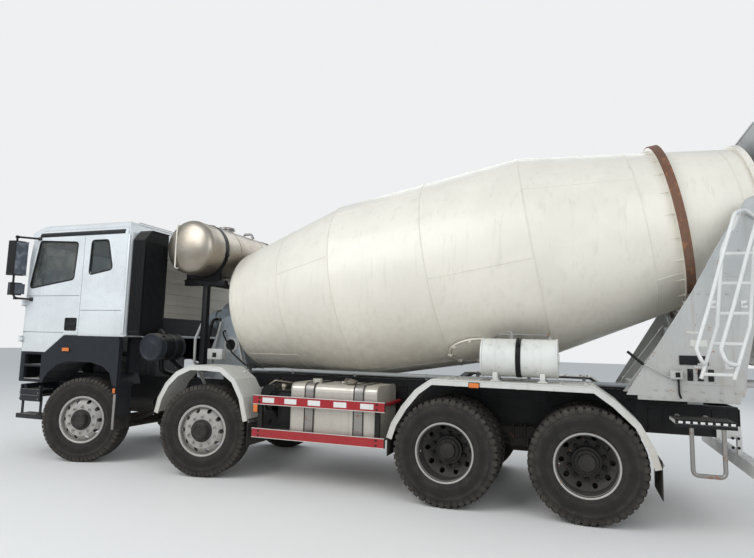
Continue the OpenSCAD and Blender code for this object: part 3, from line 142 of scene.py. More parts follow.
def slab(lo, hi, soft=0.003, segments=2):
    """A block between two corners with softened edges."""
    clear()
    lo, hi = Vector(lo), Vector(hi)
    bpy.ops.mesh.primitive_cube_add(size=1, location=(lo + hi) / 2)
    bpy.context.object.scale = hi - lo
    return soften(settle(), min(soft, 0.4 * min(hi - lo)), segments)


def block(x0, y0, z0, x1, y1, z1, soft=0.003, segments=2):
    """A block between two corners, given as at takes them."""
    low, high = at(x0, y0, z0), at(x1, y1, z1)
    return slab(low, high, soft, segments)


def rod(p, q, r, n=16, soft=0):
    """A round bar between two points."""
    clear()
    p, q = Vector(p), Vector(q)
    bpy.ops.mesh.primitive_cone_add(
        vertices=n, radius1=r, radius2=r, depth=(q - p).length, location=(p + q) / 2,
        rotation=facing(q - p).to_euler())
    return soften(settle(), soft, 2)


def hoop(centre, axis, big, small, n, m):
    """A round ring about an axis."""
    clear()
    bpy.ops.mesh.primitive_torus_add(
        major_radius=big, minor_radius=small, major_segments=n, minor_segments=m, location=centre,
        rotation=facing(axis).to_euler())
    return settle()


def ball(centre, r, n):
    clear()
    bpy.ops.mesh.primitive_uv_sphere_add(segments=n, ring_count=n // 2, radius=r, location=centre)
    return settle()


def trace(points, close=False):
    """Draws an outline by extruding a vertex from point to point, and fills it where close is set."""
    clear()
    points = [Vector(p) for p in points]
    bpy.ops.mesh.primitive_plane_add(size=0.001, location=points[0])
    settle()
    edit(bpy.context.object)
    bpy.ops.mesh.merge(type="CENTER")
    for a, b in zip(points, points[1:]):
        bpy.ops.mesh.extrude_region_move(TRANSFORM_OT_translate={"value": b - a})
    bpy.ops.mesh.select_all(action="SELECT")
    if close:
        bpy.ops.mesh.edge_face_add()
    return done()


def panel(points, push, soft=0, segments=2):
    """A flat outline given a thickness."""
    plate = trace(points, close=True)
    edit(plate)
    bpy.ops.mesh.extrude_region_move(TRANSFORM_OT_translate={"value": Vector(push)})
    bpy.ops.mesh.select_all(action="SELECT")
    bpy.ops.mesh.normals_make_consistent(inside=False)
    return soften(done(), soft, segments)


def mend():
    """Joins doubled points, turns all faces outwards and leaves edit mode."""
    bpy.ops.mesh.select_all(action="SELECT")
    bpy.ops.mesh.remove_doubles(threshold=DOUBLED)
    bpy.ops.mesh.normals_make_consistent(inside=False)
    return done()


def lathe(profile, centre=(0, 0, 0), axis=Z, steps=64):
    """Spins (radius, height) points about an axis through centre."""
    centre, axis = Vector(centre), Vector(axis).normalized()
    side = axis.orthogonal().normalized()
    edit(trace([centre + side * r + axis * h for r, h in profile]))
    bpy.ops.mesh.spin(steps=steps, angle=2 * math.pi, center=centre, axis=axis)
    return mend()


def rounded(points, bend, n=5):
    """The points of a path with its corners rounded."""
    points = [Vector(p) for p in points]
    path = [points[0]]
    for a, b, c in zip(points, points[1:], points[2:]):
        u, v = (a - b).normalized(), (c - b).normalized()
        half = u.angle(v) / 2
        if half > math.radians(88):
            path.append(b)
            continue
        cut = min(bend / math.tan(half), (a - b).length * 0.48, (c - b).length * 0.48)
        s, e = b + u * cut, b + v * cut
        for i in range(n + 1):
            t = i / n
            path.append((1 - t) ** 2 * s + 2 * t * (1 - t) * b + t * t * e)
    return path + [points[-1]]


def collar(r0, r1, h0, h1, centre=(0, 0, 0), axis=Z, steps=64):
    """A flat ring between two radii and two heights, open on its inside."""
    return lathe([(r0, h0), (r1, h0), (r1, h1), (r0, h1)], centre, axis, steps)


def tube(points, r, bend=0.05, m=3):
    """A bent tube or hose through points."""
    path = rounded(points, bend)
    clear()
    bpy.ops.curve.primitive_bezier_curve_add(location=(0, 0, 0))
    curve = bpy.context.object.data
    curve.splines.clear()
    line = curve.splines.new("POLY")
    line.points.add(len(path) - 1)
    for point, p in zip(line.points, path):
        point.co = (*p, 1)
    curve.bevel_depth, curve.bevel_resolution, curve.use_fill_caps = r, m, True
    bpy.ops.object.convert(target="MESH")
    edit(bpy.context.object)
    return mend()


def wreath(piece, count, start=0):
    """Repeats a piece around Z through the origin."""
    piece.data.transform(Matrix.Rotation(start, 4, "Z"))
    clear()
    bpy.ops.object.empty_add(location=(0, 0, 0), rotation=(0, 0, 2 * math.pi / count))
    pivot = bpy.context.object
    modify(piece, "ARRAY", count=count, use_relative_offset=False, use_object_offset=True,
           offset_object=pivot)
    remove(pivot)
    return piece


def row(piece, count, step):
    """Repeats a piece along a straight step."""
    return modify(
        piece, "ARRAY", count=count, use_relative_offset=False, use_constant_offset=True,
        constant_offset_displace=step)


def twin(piece, matrix):
    """A copy of a piece, with a mesh of its own, moved by a matrix."""
    pick(piece)
    bpy.ops.object.duplicate(linked=False)
    copy = bpy.context.object
    copy.data.transform(matrix)
    if matrix.determinant() < 0:
        copy.data.flip_normals()
    return copy


def both(piece):
    """A piece and its mirror image on the other side of the truck."""
    return [piece, twin(piece, Matrix.Scale(-1, 4, Y))]


def join(parts):
    flat = []
    for part in parts:
        flat += part if isinstance(part, (list, tuple)) else [part]
    pick(flat[0])
    for part in flat:
        part.select_set(True)
    if len(flat) > 1:
        bpy.ops.object.join()
    return bpy.context.object


def fit(name, parts, finish, body="chassis", replaces=(), angle=35):
    """Joins parts into one finished piece that rides on a body."""
    piece = join(parts)
    piece.name = piece.data.name = name
    pick(piece)
    bpy.ops.object.shade_smooth_by_angle(angle=math.radians(angle))
    piece.data.materials.clear()
    piece.data.materials.append(FINISH[finish])
    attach(piece, body)
    if replaces:
        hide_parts(*replaces)


def pair(name, parts, finish, body="chassis"):
    """Fits the left side's parts and their mirror image as one piece."""
    fit(name, both(join(parts)), finish, body=body)


def bolts(places, normal, r=0.011, h=0.009):
    """Bolt heads on washers at places, all standing along one normal."""
    head = rod((0, 0, 0.002), (0, 0, 0.002 + h), r, 6)
    washer = rod((0, 0, -0.001), (0, 0, 0.0025), r * 1.4, 16)
    master = join([soften(head, r * 0.12, 1), washer])
    turn = facing(normal).to_matrix().to_4x4()
    copies = [twin(master, Matrix.Translation(Vector(p)) @ turn) for p in places]
    remove(master)
    return join(copies)


def angles(a, b, n):
    """n angles evenly from a to b degrees, in radians."""
    return [math.radians(a + (b - a) * i / (n - 1)) for i in range(n)]


# Finishes

FINISH = {}


class Nodes:
    """A node tree that takes nodes with their values and links."""

    def __init__(self, tree):
        self.nodes, self.links = tree.nodes, tree.links

    def add(self, kind, **values):
        return self.set(self.nodes.new(kind), **values)

    def set(self, node, **values):
        """Sets a node's own settings, or its sockets, where _ stands for a space."""
        for key, value in values.items():
            if hasattr(node, key):
                setattr(node, key, value)
            else:
                self.feed(node.inputs[key.replace("_", " ")], value)
        return node

    def feed(self, socket, value):
        if isinstance(value, bpy.types.NodeSocket):
            self.links.new(value, socket)
        elif socket.type == "RGBA" and len(value) == 3:
            socket.default_value = (*value, 1)
        else:
            socket.default_value = value

    def math(self, operation, a, b):
        node = self.add("ShaderNodeMath", operation=operation)
        self.feed(node.inputs[0], a)
        self.feed(node.inputs[1], b)
        return node.outputs[0]


class Graph(Nodes):
    """A finish's nodes around one principled shader."""

    def __init__(self, name):
        material = bpy.data.materials.new(name)
        material.use_nodes = True
        super().__init__(material.node_tree)
        self.shader = self.nodes["Principled BSDF"]
        self.coords = self.add("ShaderNodeTexCoord").outputs
        FINISH[name] = material

    def stretch(self, scale):
        return self.add("ShaderNodeMapping", Vector=self.coords["Object"], Scale=scale).outputs["Vector"]

    def noise(self, scale, detail=4, rough=0.6, vector=None):
        return self.add(
            "ShaderNodeTexNoise", Scale=scale, Detail=detail, Roughness=rough,
            Vector=vector or self.coords["Object"]).outputs["Fac"]

    def ramp(self, value, low, high, a=0, b=1):
        return self.add(
            "ShaderNodeMapRange", interpolation_type="SMOOTHSTEP", Value=value, From_Min=low, From_Max=high,
            To_Min=a, To_Max=b).outputs["Result"]

    def mix(self, amount, a, b):
        node = self.add("ShaderNodeMix", data_type="RGBA")
        for socket, value in ((0, amount), (6, a), (7, b)):
            self.feed(node.inputs[socket], value)
        return node.outputs[2]

    def upward(self, kind):
        """The Z part of the place (Object) or of the direction of the surface (Normal)."""
        return self.add("ShaderNodeSeparateXYZ", Vector=self.coords[kind]).outputs["Z"]

    def bump(self, height, distance=0.001, strength=0.3):
        node = self.add("ShaderNodeBump", Distance=distance, Strength=strength, Height=height)
        self.set(self.shader, Normal=node.outputs["Normal"])

    def finish(self, colour, rough, metal=0):
        self.set(self.shader, Base_Color=colour, Roughness=rough, Metallic=metal)


DUST = (0.42, 0.37, 0.3)
DULL = 0.22  # the shine of dark plastic, iron and rubber that has stood outdoors


def coat(name, base, rough, dust, low, top, streak, metal=0.0, rust=0.0, stain=(0.3, 0.26, 0.2), grain=120,
         lump=0.15, shade=0.12, dirt=DUST, varnish=0.0):
    """Paint, metal or plastic that has stood outdoors: dust low down and on top, streaks, blotches, rust."""
    g = Graph(name)
    cloud, fine, spots = g.noise(1.6, 5), g.noise(grain, 3), g.noise(9, 6, 0.7)
    colour = g.mix(g.ramp(cloud, 0.35, 0.65), tuple(c * (1 - shade) for c in base), base)
    if streak:
        runs = g.noise(1.0, 6, 0.7, g.stretch((16, 16, 0.7)))
        colour = g.mix(g.math("MULTIPLY", g.ramp(runs, 0.52, 0.72), streak), colour, stain)
    if rust:
        chips = g.ramp(g.noise(14, 8, 0.75), 0.62 - 0.1 * rust, 0.68 - 0.1 * rust)
        colour = g.mix(chips, colour, g.mix(fine, (0.2, 0.075, 0.03), (0.36, 0.16, 0.07)))
    height = g.ramp(g.upward("Object"), *low, 1.0, 0.0)
    lying = g.math("MULTIPLY", g.ramp(g.upward("Normal"), 0.35, 0.95), top)
    amount = g.math("MAXIMUM", g.math("MULTIPLY", height, dust), lying)
    amount = g.math("MULTIPLY", amount, g.ramp(spots, 0.25, 0.75, 0.35, 1.15))
    colour = g.mix(g.math("MINIMUM", amount, 0.95), colour, dirt)
    shine = g.ramp(spots, 0.3, 0.7, max(rough - 0.08, 0.05), min(rough + 0.12, 1))
    shine = g.math("ADD", shine, g.math("MULTIPLY", amount, 0.35))
    g.bump(g.math("ADD", g.math("MULTIPLY", fine, lump), g.math("MULTIPLY", spots, lump)), 0.002, 0.25)
    if varnish:
        g.set(g.shader, Coat_Weight=varnish, Coat_Roughness=0.12)
    if max(base) < 0.05:
        g.set(g.shader, Specular_IOR_Level=DULL)
    g.finish(colour, g.math("MINIMUM", shine, 1.0), metal)


def make_finishes(look):
    """Builds every finish of the truck from the colours in the panel."""
    white, cream = tuple(look.cab_white), tuple(look.drum_cream)
    coat("cab_white", white, 0.3, 0.25, (1.3, 2.1), 0.3, 0.1, varnish=0.3)
    coat("drum_cream", cream, 0.38, 0.62, (0.9, 2.6), 0.05, 0.22, stain=(0.4, 0.37, 0.3),
         dirt=(0.46, 0.41, 0.32), lump=0.1, shade=0.07, varnish=0.15)
    coat("tank_white", (0.7, 0.71, 0.68), 0.36, 0.35, (1.1, 1.6), 0.2, 0.35)
    coat("fender_white", (0.6, 0.6, 0.57), 0.42, 0.7, (0.5, 1.25), 0.35, 0.25)
    coat("ladder_white", (0.74, 0.75, 0.74), 0.4, 0.3, (0.8, 2.2), 0.2, 0.2)
    coat("guard_red", tuple(look.guard_red), 0.33, 0.04, (0.45, 1.1), 0.2, 0.02)
    coat("mixer_grey", (0.3, 0.35, 0.385), 0.45, 0.4, (1, 2), 0.5, 0.3, rust=0.1)
    coat("pedestal_grey", (0.47, 0.49, 0.49), 0.45, 0.42, (1.1, 2.6), 0.5, 0.4, rust=0.12)
    coat("hopper_grey", (0.46, 0.48, 0.48), 0.6, 0.55, (1.5, 4.2), 0.6, 0.6, rust=0.3, dirt=(0.5, 0.48, 0.44),
         lump=0.5)
    coat("grey_plastic", (0.0175, 0.02, 0.025), 0.5, 0.04, (0.4, 1.2), 0.1, 0.02, lump=0.3)
    coat("black_paint", (0.0065, 0.0068, 0.008), 0.42, 0.04, (0.35, 1.3), 0.12, 0.015)
    coat("canister_blue", (0.018, 0.022, 0.029), 0.42, 0.05, (0.9, 1.6), 0.25, 0.04)
    coat("iron", (0.018, 0.0175, 0.017), 0.7, 0.14, (0.2, 1.2), 0.18, 0.05, rust=0.1, lump=0.5)
    coat("engine_iron", (0.06, 0.064, 0.068), 0.6, 0.22, (0.4, 1.3), 0.3, 0.25, metal=0.3, rust=0.2, lump=0.5)
    coat("tank_alloy", (0.56, 0.53, 0.47), 0.36, 0.3, (0.5, 1.25), 0.45, 0.3, metal=0.45)
    coat("rim_silver", (0.42, 0.41, 0.39), 0.42, 0.22, (0.1, 1.3), 0.1, 0, metal=0.35, rust=0.1)
    coat("rim_dark", (0.04, 0.04, 0.041), 0.5, 0.14, (0.1, 1.6), 0.15, 0, metal=0.2, rust=0.1)
    coat("hub_black", (0.014, 0.014, 0.015), 0.45, 0.1, (0.1, 1.4), 0.16, 0, metal=0.1, lump=0.3)
    coat("worn_steel", (0.3, 0.29, 0.28), 0.35, 0.2, (0.5, 3), 0.2, 0.25, metal=0.8, rust=0.4)
    coat("ring_rust", (0.16, 0.075, 0.045), 0.75, 0.2, (1.5, 4), 0.1, 0.3, metal=0.2,
         stain=(0.32, 0.17, 0.09), rust=0.9, lump=0.6)
    coat("rubber", (0.012, 0.012, 0.012), 0.62, 0.08, (0.3, 1.4), 0.14, 0.03)
    # The cab's back wall is light grey: this darker beige is painted shade.
    coat("wall_beige", (0.44, 0.42, 0.36), 0.5, 0.3, (1.6, 2.6), 0.4, 0.2)
    coat("blank_plate", (0.62, 0.62, 0.58), 0.4, 0.4, (0.3, 1.4), 0.2, 0.25)
    coat("dash_grey", (0.07, 0.072, 0.075), 0.6, 0.1, (1, 1.4), 0.25, 0, lump=0.4)
    coat("reflector_white", (0.72, 0.72, 0.7), 0.3, 0.2, (0.5, 1.1), 0.1, 0.1, grain=900)
    coat("mirror_black", (0.013, 0.013, 0.014), 0.35, 0.06, (1, 2), 0.25, 0.05, lump=0.2)
    for name, colour in (
            ("lamp_orange", (0.8, 0.2, 0.02)), ("lamp_red", (0.42, 0.01, 0.01)),
            ("lamp_clear", (0.62, 0.64, 0.66))):
        g = Graph(name)
        ribs = g.noise(60, 2, 0.5, g.stretch((1, 6, 1)))
        g.set(g.shader, Coat_Weight=0.8)
        g.bump(ribs, 0.001, 0.5)
        tint = g.mix(g.noise(20), tuple(c * 0.75 for c in colour), colour)
        g.finish(tint, g.ramp(ribs, 0.3, 0.7, 0.12, 0.3))
    g = Graph("cab_glass")
    g.set(g.shader, Transmission_Weight=0.85, IOR=1.45)
    film = g.ramp(g.noise(3, 6, 0.7), 0.4, 0.75)
    g.finish(g.mix(film, (0.2, 0.23, 0.24), (0.42, 0.42, 0.38)), g.ramp(film, 0, 1, 0.04, 0.28))
    g = Graph("mirror_glass")
    g.finish(g.mix(g.noise(6), (0.1, 0.11, 0.13), (0.17, 0.18, 0.2)),
             g.ramp(g.noise(12), 0.4, 0.7, 0.04, 0.2), 1)
    g = Graph("stainless")
    brushed = g.noise(1, 4, 0.6, g.stretch((220, 3, 220)))
    tint = g.noise(1.3, 4, 0.6)
    low = g.ramp(g.upward("Object"), 2.45, 2.95, 1, 0)
    colour = g.mix(g.ramp(tint, 0.35, 0.7), (0.46, 0.42, 0.36), (0.29, 0.25, 0.2))
    colour = g.mix(g.math("MULTIPLY", low, 0.55), colour, (0.22, 0.19, 0.15))
    g.bump(brushed, 0.001, 0.12)
    g.finish(colour, g.ramp(brushed, 0.2, 0.8, 0.26, 0.44), 0.9)
    g = Graph("seat_cloth")
    weave = g.add(
        "ShaderNodeTexWave", wave_type="BANDS", bands_direction="DIAGONAL", Scale=160,
        Vector=g.coords["Object"]).outputs["Fac"]
    g.bump(weave, 0.001, 0.4)
    g.set(g.shader, Sheen_Weight=0.3)
    g.finish(g.mix(weave, (0.045, 0.047, 0.055), (0.1, 0.1, 0.11)), g.ramp(g.noise(30), 0, 1, 0.8, 0.95))
    g = Graph("tyre_rubber")
    g.set(g.shader, Specular_IOR_Level=DULL)
    grime = g.add("ShaderNodeAttribute", attribute_name="grime").outputs["Fac"]
    patches = g.ramp(g.noise(11, 6, 0.7), 0.3, 0.7, 0.3, 0.85)
    fine = g.noise(180, 3)
    dusty = g.mix(fine, (0.115, 0.1, 0.082), (0.22, 0.195, 0.16))
    g.bump(fine, 0.001, 0.3)
    g.finish(g.mix(g.math("MULTIPLY", grime, patches), (0.012, 0.0115, 0.011), dusty),
             g.ramp(fine, 0.3, 0.7, 0.68, 0.86))


NODE_FINISH = {
    "cab_white": ("cab_shell", "door_left", "door_right"),
    "drum_cream": ("drum",),
    "tank_white": ("wash_tank",),
    "fender_white": ("fenders",),
    "ladder_white": ("ladder",),
    "guard_red": ("side_guards",),
    "mixer_grey": ("mixer_subframe", "drum_drive"),
    "pedestal_grey": ("rear_pedestal", "chute_swivel"),
    "hopper_grey": ("hopper", "chute"),
    "grey_plastic": ("bumper", "front_flares", "cab_trim"),
    "black_paint": ("frame_rails", "side_gear", "air_intake"),
    "iron": ("front_axles", "rear_axles", "knuckle_1l", "knuckle_1r", "knuckle_2l", "knuckle_2r",
             "tie_rod_1", "tie_rod_2"),
    "engine_iron": ("powertrain",),
    "tank_alloy": ("fuel_tank",),
    "rim_silver": tuple("rim_" + w for w in WHEELS[:4]),
    "rim_dark": tuple("rim_" + w for w in WHEELS[4:]),
    "tyre_rubber": tuple("tyre_" + w for w in WHEELS),
    "worn_steel": ("roller_left", "roller_right"),
    "ring_rust": ("track_ring",),
    "stainless": ("water_tank",),
    "lamp_orange": ("lamps",),
    "cab_glass": ("cab_glass", "door_glass_left", "door_glass_right"),
    "seat_cloth": ("seats",),
    "dash_grey": ("dashboard",),
    "mirror_black": ("mirror_left", "mirror_right"),
}


# The panel's values

def count_of(name, description, default, least, most):
    return bpy.props.IntProperty(name=name, description=description, default=default, min=least, max=most)


def length_of(name, description, default):
    return bpy.props.FloatProperty(name=name, description=description, default=default, unit="LENGTH")


def paint_of(name, description, default):
    return bpy.props.FloatVectorProperty(
        name=name, description=description, subtype="COLOR", size=3, default=default)


class MixerSizes(bpy.types.PropertyGroup):
    """Sizes of the dressed pieces."""
    shoulder_lugs: count_of("Rear shoulder lugs", "Lugs around each shoulder of a rear tyre", 46, 24, 80)
    front_lugs: count_of("Front shoulder lugs", "Lugs around each shoulder of a front tyre", 60, 24, 90)
    wheel_nuts: count_of("Wheel nuts", "Nuts on each wheel", 10, 6, 12)
    nut_circle: length_of("Nut circle", "Radius of the circle of wheel nuts", 0.1675)
    seam: length_of("Weld seam", "Radius of the weld beads on the drum", 0.006)
    hose: length_of("Hose", "Radius of the hoses and air lines", 0.011)


class MixerLook(bpy.types.PropertyGroup):
    """Colours of the main finishes."""
    cab_white: paint_of("Cab", "Paint of the cab", (0.66, 0.7, 0.72))
    drum_cream: paint_of("Drum", "Paint of the drum", (0.77, 0.735, 0.65))
    guard_red: paint_of("Guards", "Paint of the side guards", (0.33, 0.004, 0.01))
    floor: paint_of("Floor", "Colour of the floor", (0.8, 0.79, 0.77))


# Wheels

TYRE_W = 0.3  # width of one tyre


def wheel_place(wheel):
    """Where a wheel built around Z goes: Z points out from the truck at the wheel's middle."""
    joint = JOINTS["wheel_%s_spin" % wheel]
    side = 1 if wheel.endswith("l") else -1
    out = Vector(joint["axis"]).normalized() * side
    along = Vector((out.y, -out.x, 0)).normalized() * side
    turn = Matrix((along, out.cross(along), out)).transposed().to_4x4()
    return Matrix.Translation(Vector(joint["pos_m"])) @ turn


def twin_gap():
    """How far each tyre of a twin wheel sits from the wheel's middle."""
    lo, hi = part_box("tyre_3l")
    return (hi.y - lo.y - TYRE_W) / 2


def soil(piece):
    """Marks how dusty each point of a tyre is, from its tread to its bead."""
    mark = piece.data.attributes.new("grime", "FLOAT", "POINT")
    for v, d in zip(piece.data.vertices, mark.data):
        r, z = math.hypot(v.co.x, v.co.y), abs(v.co.z)
        edge = 0.42 if z > 0.12 else 0.34
        zones = ((0.53, 0.3), (0.5, edge), (0.44, 0.22), (0.34, 0.09))
        d.value = next((dust for least, dust in zones if r > least), 0.2)
    return piece


def carcass():
    half = [(0.2868, 0.108), (0.2995, 0.118), (0.31, 0.131), (0.322, 0.138), (0.33, 0.1365), (0.338, 0.1435),
            (0.372, 0.1478), (0.41, 0.1492), (0.44, 0.1482), (0.444, 0.15), (0.452, 0.15), (0.456, 0.1472),
            (0.492, 0.1405), (0.51, 0.133), (0.519, 0.118), (0.52, 0.06), (0.521, 0)]
    inner = [(0.295, 0.098), (0.33, 0.12), (0.4, 0.134), (0.46, 0.131), (0.495, 0.105), (0.5, 0)]
    outline = [(r, -z) for r, z in half] + [(r, z) for r, z in half[-2::-1]]
    outline += inner + [(r, -z) for r, z in inner[-2::-1]] + [outline[0]]
    return lathe(outline, steps=96)


def lugs_around(width, count):
    """The shoulder lugs of both sides of a tyre, set half a step apart."""
    shape = [(0.512, 0.084), (0.538, 0.082), (0.538, 0.116), (0.5305, 0.131), (0.506, 0.1425),
             (0.474, 0.1485), (0.47, 0.141), (0.505, 0.125)]
    lugs = wreath(panel([(r, -width / 2, z) for r, z in shape], (0, width, 0), 0.002, 1), count)
    return [lugs, twin(lugs, Matrix.Rotation(math.pi / count, 4, "Z") @ Matrix.Scale(-1, 4, Z))]


def front_tyre(sizes):
    lugs = lugs_around(0.045, sizes.front_lugs)
    ribs = [lathe([(0.517, a), (0.5375, a + 0.003), (0.5375, b - 0.003), (0.517, b)], steps=96)
            for a, b in ((-0.074, -0.034), (-0.022, 0.022), (0.034, 0.074))]
    sipes = wreath(slab((0.531, -0.0016, -0.021), (0.5386, 0.0016, 0.021), 0), 90)
    return soil(join([carcass(), lugs, ribs, sipes]))


def rear_tyre(sizes):
    count = sizes.shoulder_lugs
    lugs = lugs_around(0.047, count)
    rows = []
    for z, start, slant in ((0.04, math.pi / count, 16), (-0.04, 0, -16)):
        lug = slab((0.514, -0.025, -0.031), (0.538, 0.025, 0.031), 0.003, 1)
        lug.data.transform(Matrix.Translation((0, 0, z)) @ Matrix.Rotation(math.radians(slant), 4, "X"))
        rows.append(wreath(lug, count, start))
    return soil(join([carcass(), lugs, rows]))


class MIXER_OT_tyres(bpy.types.Operator):
    """Treaded tyres on all eight wheels, twin tyres at the rear"""
    bl_idname = "mixer.tyres"
    bl_label = "Tyres"

    def execute(self, context):
        sizes = context.scene.mixer_sizes
        front, rear = front_tyre(sizes), rear_tyre(sizes)
        for wheel in WHEELS:
            place = wheel_place(wheel)
            if wheel[0] in "12":
                parts = [twin(front, place)]
            else:
                apart = [Matrix.Translation((0, 0, s * twin_gap())) for s in (-1, 1)]
                parts = [twin(rear, place @ apart[0] @ Matrix.Rotation(-0.3, 4, "Z")),
                         twin(rear, place @ apart[1] @ Matrix.Rotation(0.3, 4, "Z"))]
            fit("tread_" + wheel, parts, "tyre_rubber", body="wheel_" + wheel,
                replaces=["tyre_" + wheel], angle=30)
        remove(front, rear)
        return {"FINISHED"}


def nut_ring(count, circle, z, length):
    nut = rod((circle, 0, z), (circle, 0, z + 0.024), 0.0165, 6)
    stud = rod((circle, 0, z + 0.02), (circle, 0, z + length), 0.01, 12, 0.002)
    cone = rod((circle, 0, z - 0.001), (circle, 0, z + 0.006), 0.023, 20, 0.002)
    return wreath(join([soften(nut, 0.002, 1), stud, cone]), count, math.radians(18))


class MIXER_OT_wheel_trim(bpy.types.Operator):
    """Rims, wheel nuts, hub caps and valves on all eight wheels"""
    bl_idname = "mixer.wheel_trim"
    bl_label = "Wheel trim"

    def execute(self, context):
        sizes = context.scene.mixer_sizes
        count, circle = sizes.wheel_nuts, sizes.nut_circle
        front_nuts = nut_ring(count, circle, 0.135, 0.045)
        edge = [(0.2845, 0.1), (0.2855, 0.112), (0.291, 0.117), (0.298, 0.1185), (0.3015, 0.122),
                (0.3015, 0.1265), (0.298, 0.1305), (0.291, 0.131), (0.283, 0.127), (0.2765, 0.118),
                (0.274, 0.1)]
        lip = lathe(edge + [edge[0]], steps=96)
        valve = tube([(0.262, 0, 0.06), (0.252, 0, 0.1), (0.243, 0, 0.125)], 0.005, 0.01)
        hub = lathe([(0.132, 0.1355), (0.128, 0.146), (0.104, 0.15), (0.099, 0.2), (0.092, 0.212),
                     (0.06, 0.216), (0.052, 0.21), (0, 0.209)],
                    steps=48)
        hub_bolts = wreath(rod((0.078, 0, 0.212), (0.078, 0, 0.221), 0.008, 6), 8)
        rear_nuts = nut_ring(count, circle, 0.014, 0.05)
        rear_hub = lathe(
            [(0.142, 0.079), (0.14, 0.088), (0.118, 0.092), (0.112, 0.112), (0.085, 0.118), (0.078, 0.15),
             (0.04, 0.156), (0, 0.156)],
            steps=48)
        rear_bolts = wreath(rod((0.1, 0, 0.114), (0.1, 0, 0.124), 0.009, 6), 10)
        for wheel in WHEELS:
            place = out = wheel_place(wheel)
            rims, hubs = (lip, front_nuts, valve), (hub, hub_bolts)
            if wheel[0] in "34":
                out = place @ Matrix.Translation((0, 0, twin_gap()))
                rims, hubs = (lip, valve), (rear_hub, rear_bolts, rear_nuts)
            body = "wheel_" + wheel
            fit("wheel_lip_" + wheel, [twin(p, out) for p in rims], "rim_silver", body=body)
            fit("hub_" + wheel, [twin(p, place) for p in hubs], "hub_black", body=body)
        remove(front_nuts, lip, valve, hub, hub_bolts, rear_nuts, rear_hub, rear_bolts)
        return {"FINISHED"}


# Drum

TILT = math.acos(abs(DRUM_AXIS.x))
HEAD = at(-1.989, 0, 2.042)  # where distances along the drum's axis start
ON_DRUM = Matrix.Translation(HEAD) @ Matrix(
    ((math.sin(TILT), 0, -math.cos(TILT)), (0, 1, 0), (math.cos(TILT), 0, math.sin(TILT)))).to_4x4()
SKIN = [(0.79, 0), (1.131, 1.541), (1.174, 3.8), (0.707, 5.997)]  # radius and distance where the cones meet
RING_T, RING_W, RING_R = 5.17, 0.084, 0.952  # start, width and radius of the track ring


def skin_r(t):
    """Radius of the drum at a distance along its axis."""
    for (r0, t0), (r1, t1) in zip(SKIN, SKIN[1:]):
        if t <= t1:
            return r0 + (r1 - r0) * (t - t0) / (t1 - t0)
    return SKIN[-1][0]


def on_drum(piece):
    """Moves a piece built around Z onto the drum's axis."""
    piece.data.transform(ON_DRUM)
    return piece


def skin_point(t, turn, out=0):
    """A point on the drum's skin; turn is measured from the top towards the left side."""
    a = math.radians(turn)
    r = skin_r(t) + out
    return Vector((r * math.cos(a), r * math.sin(a), t))


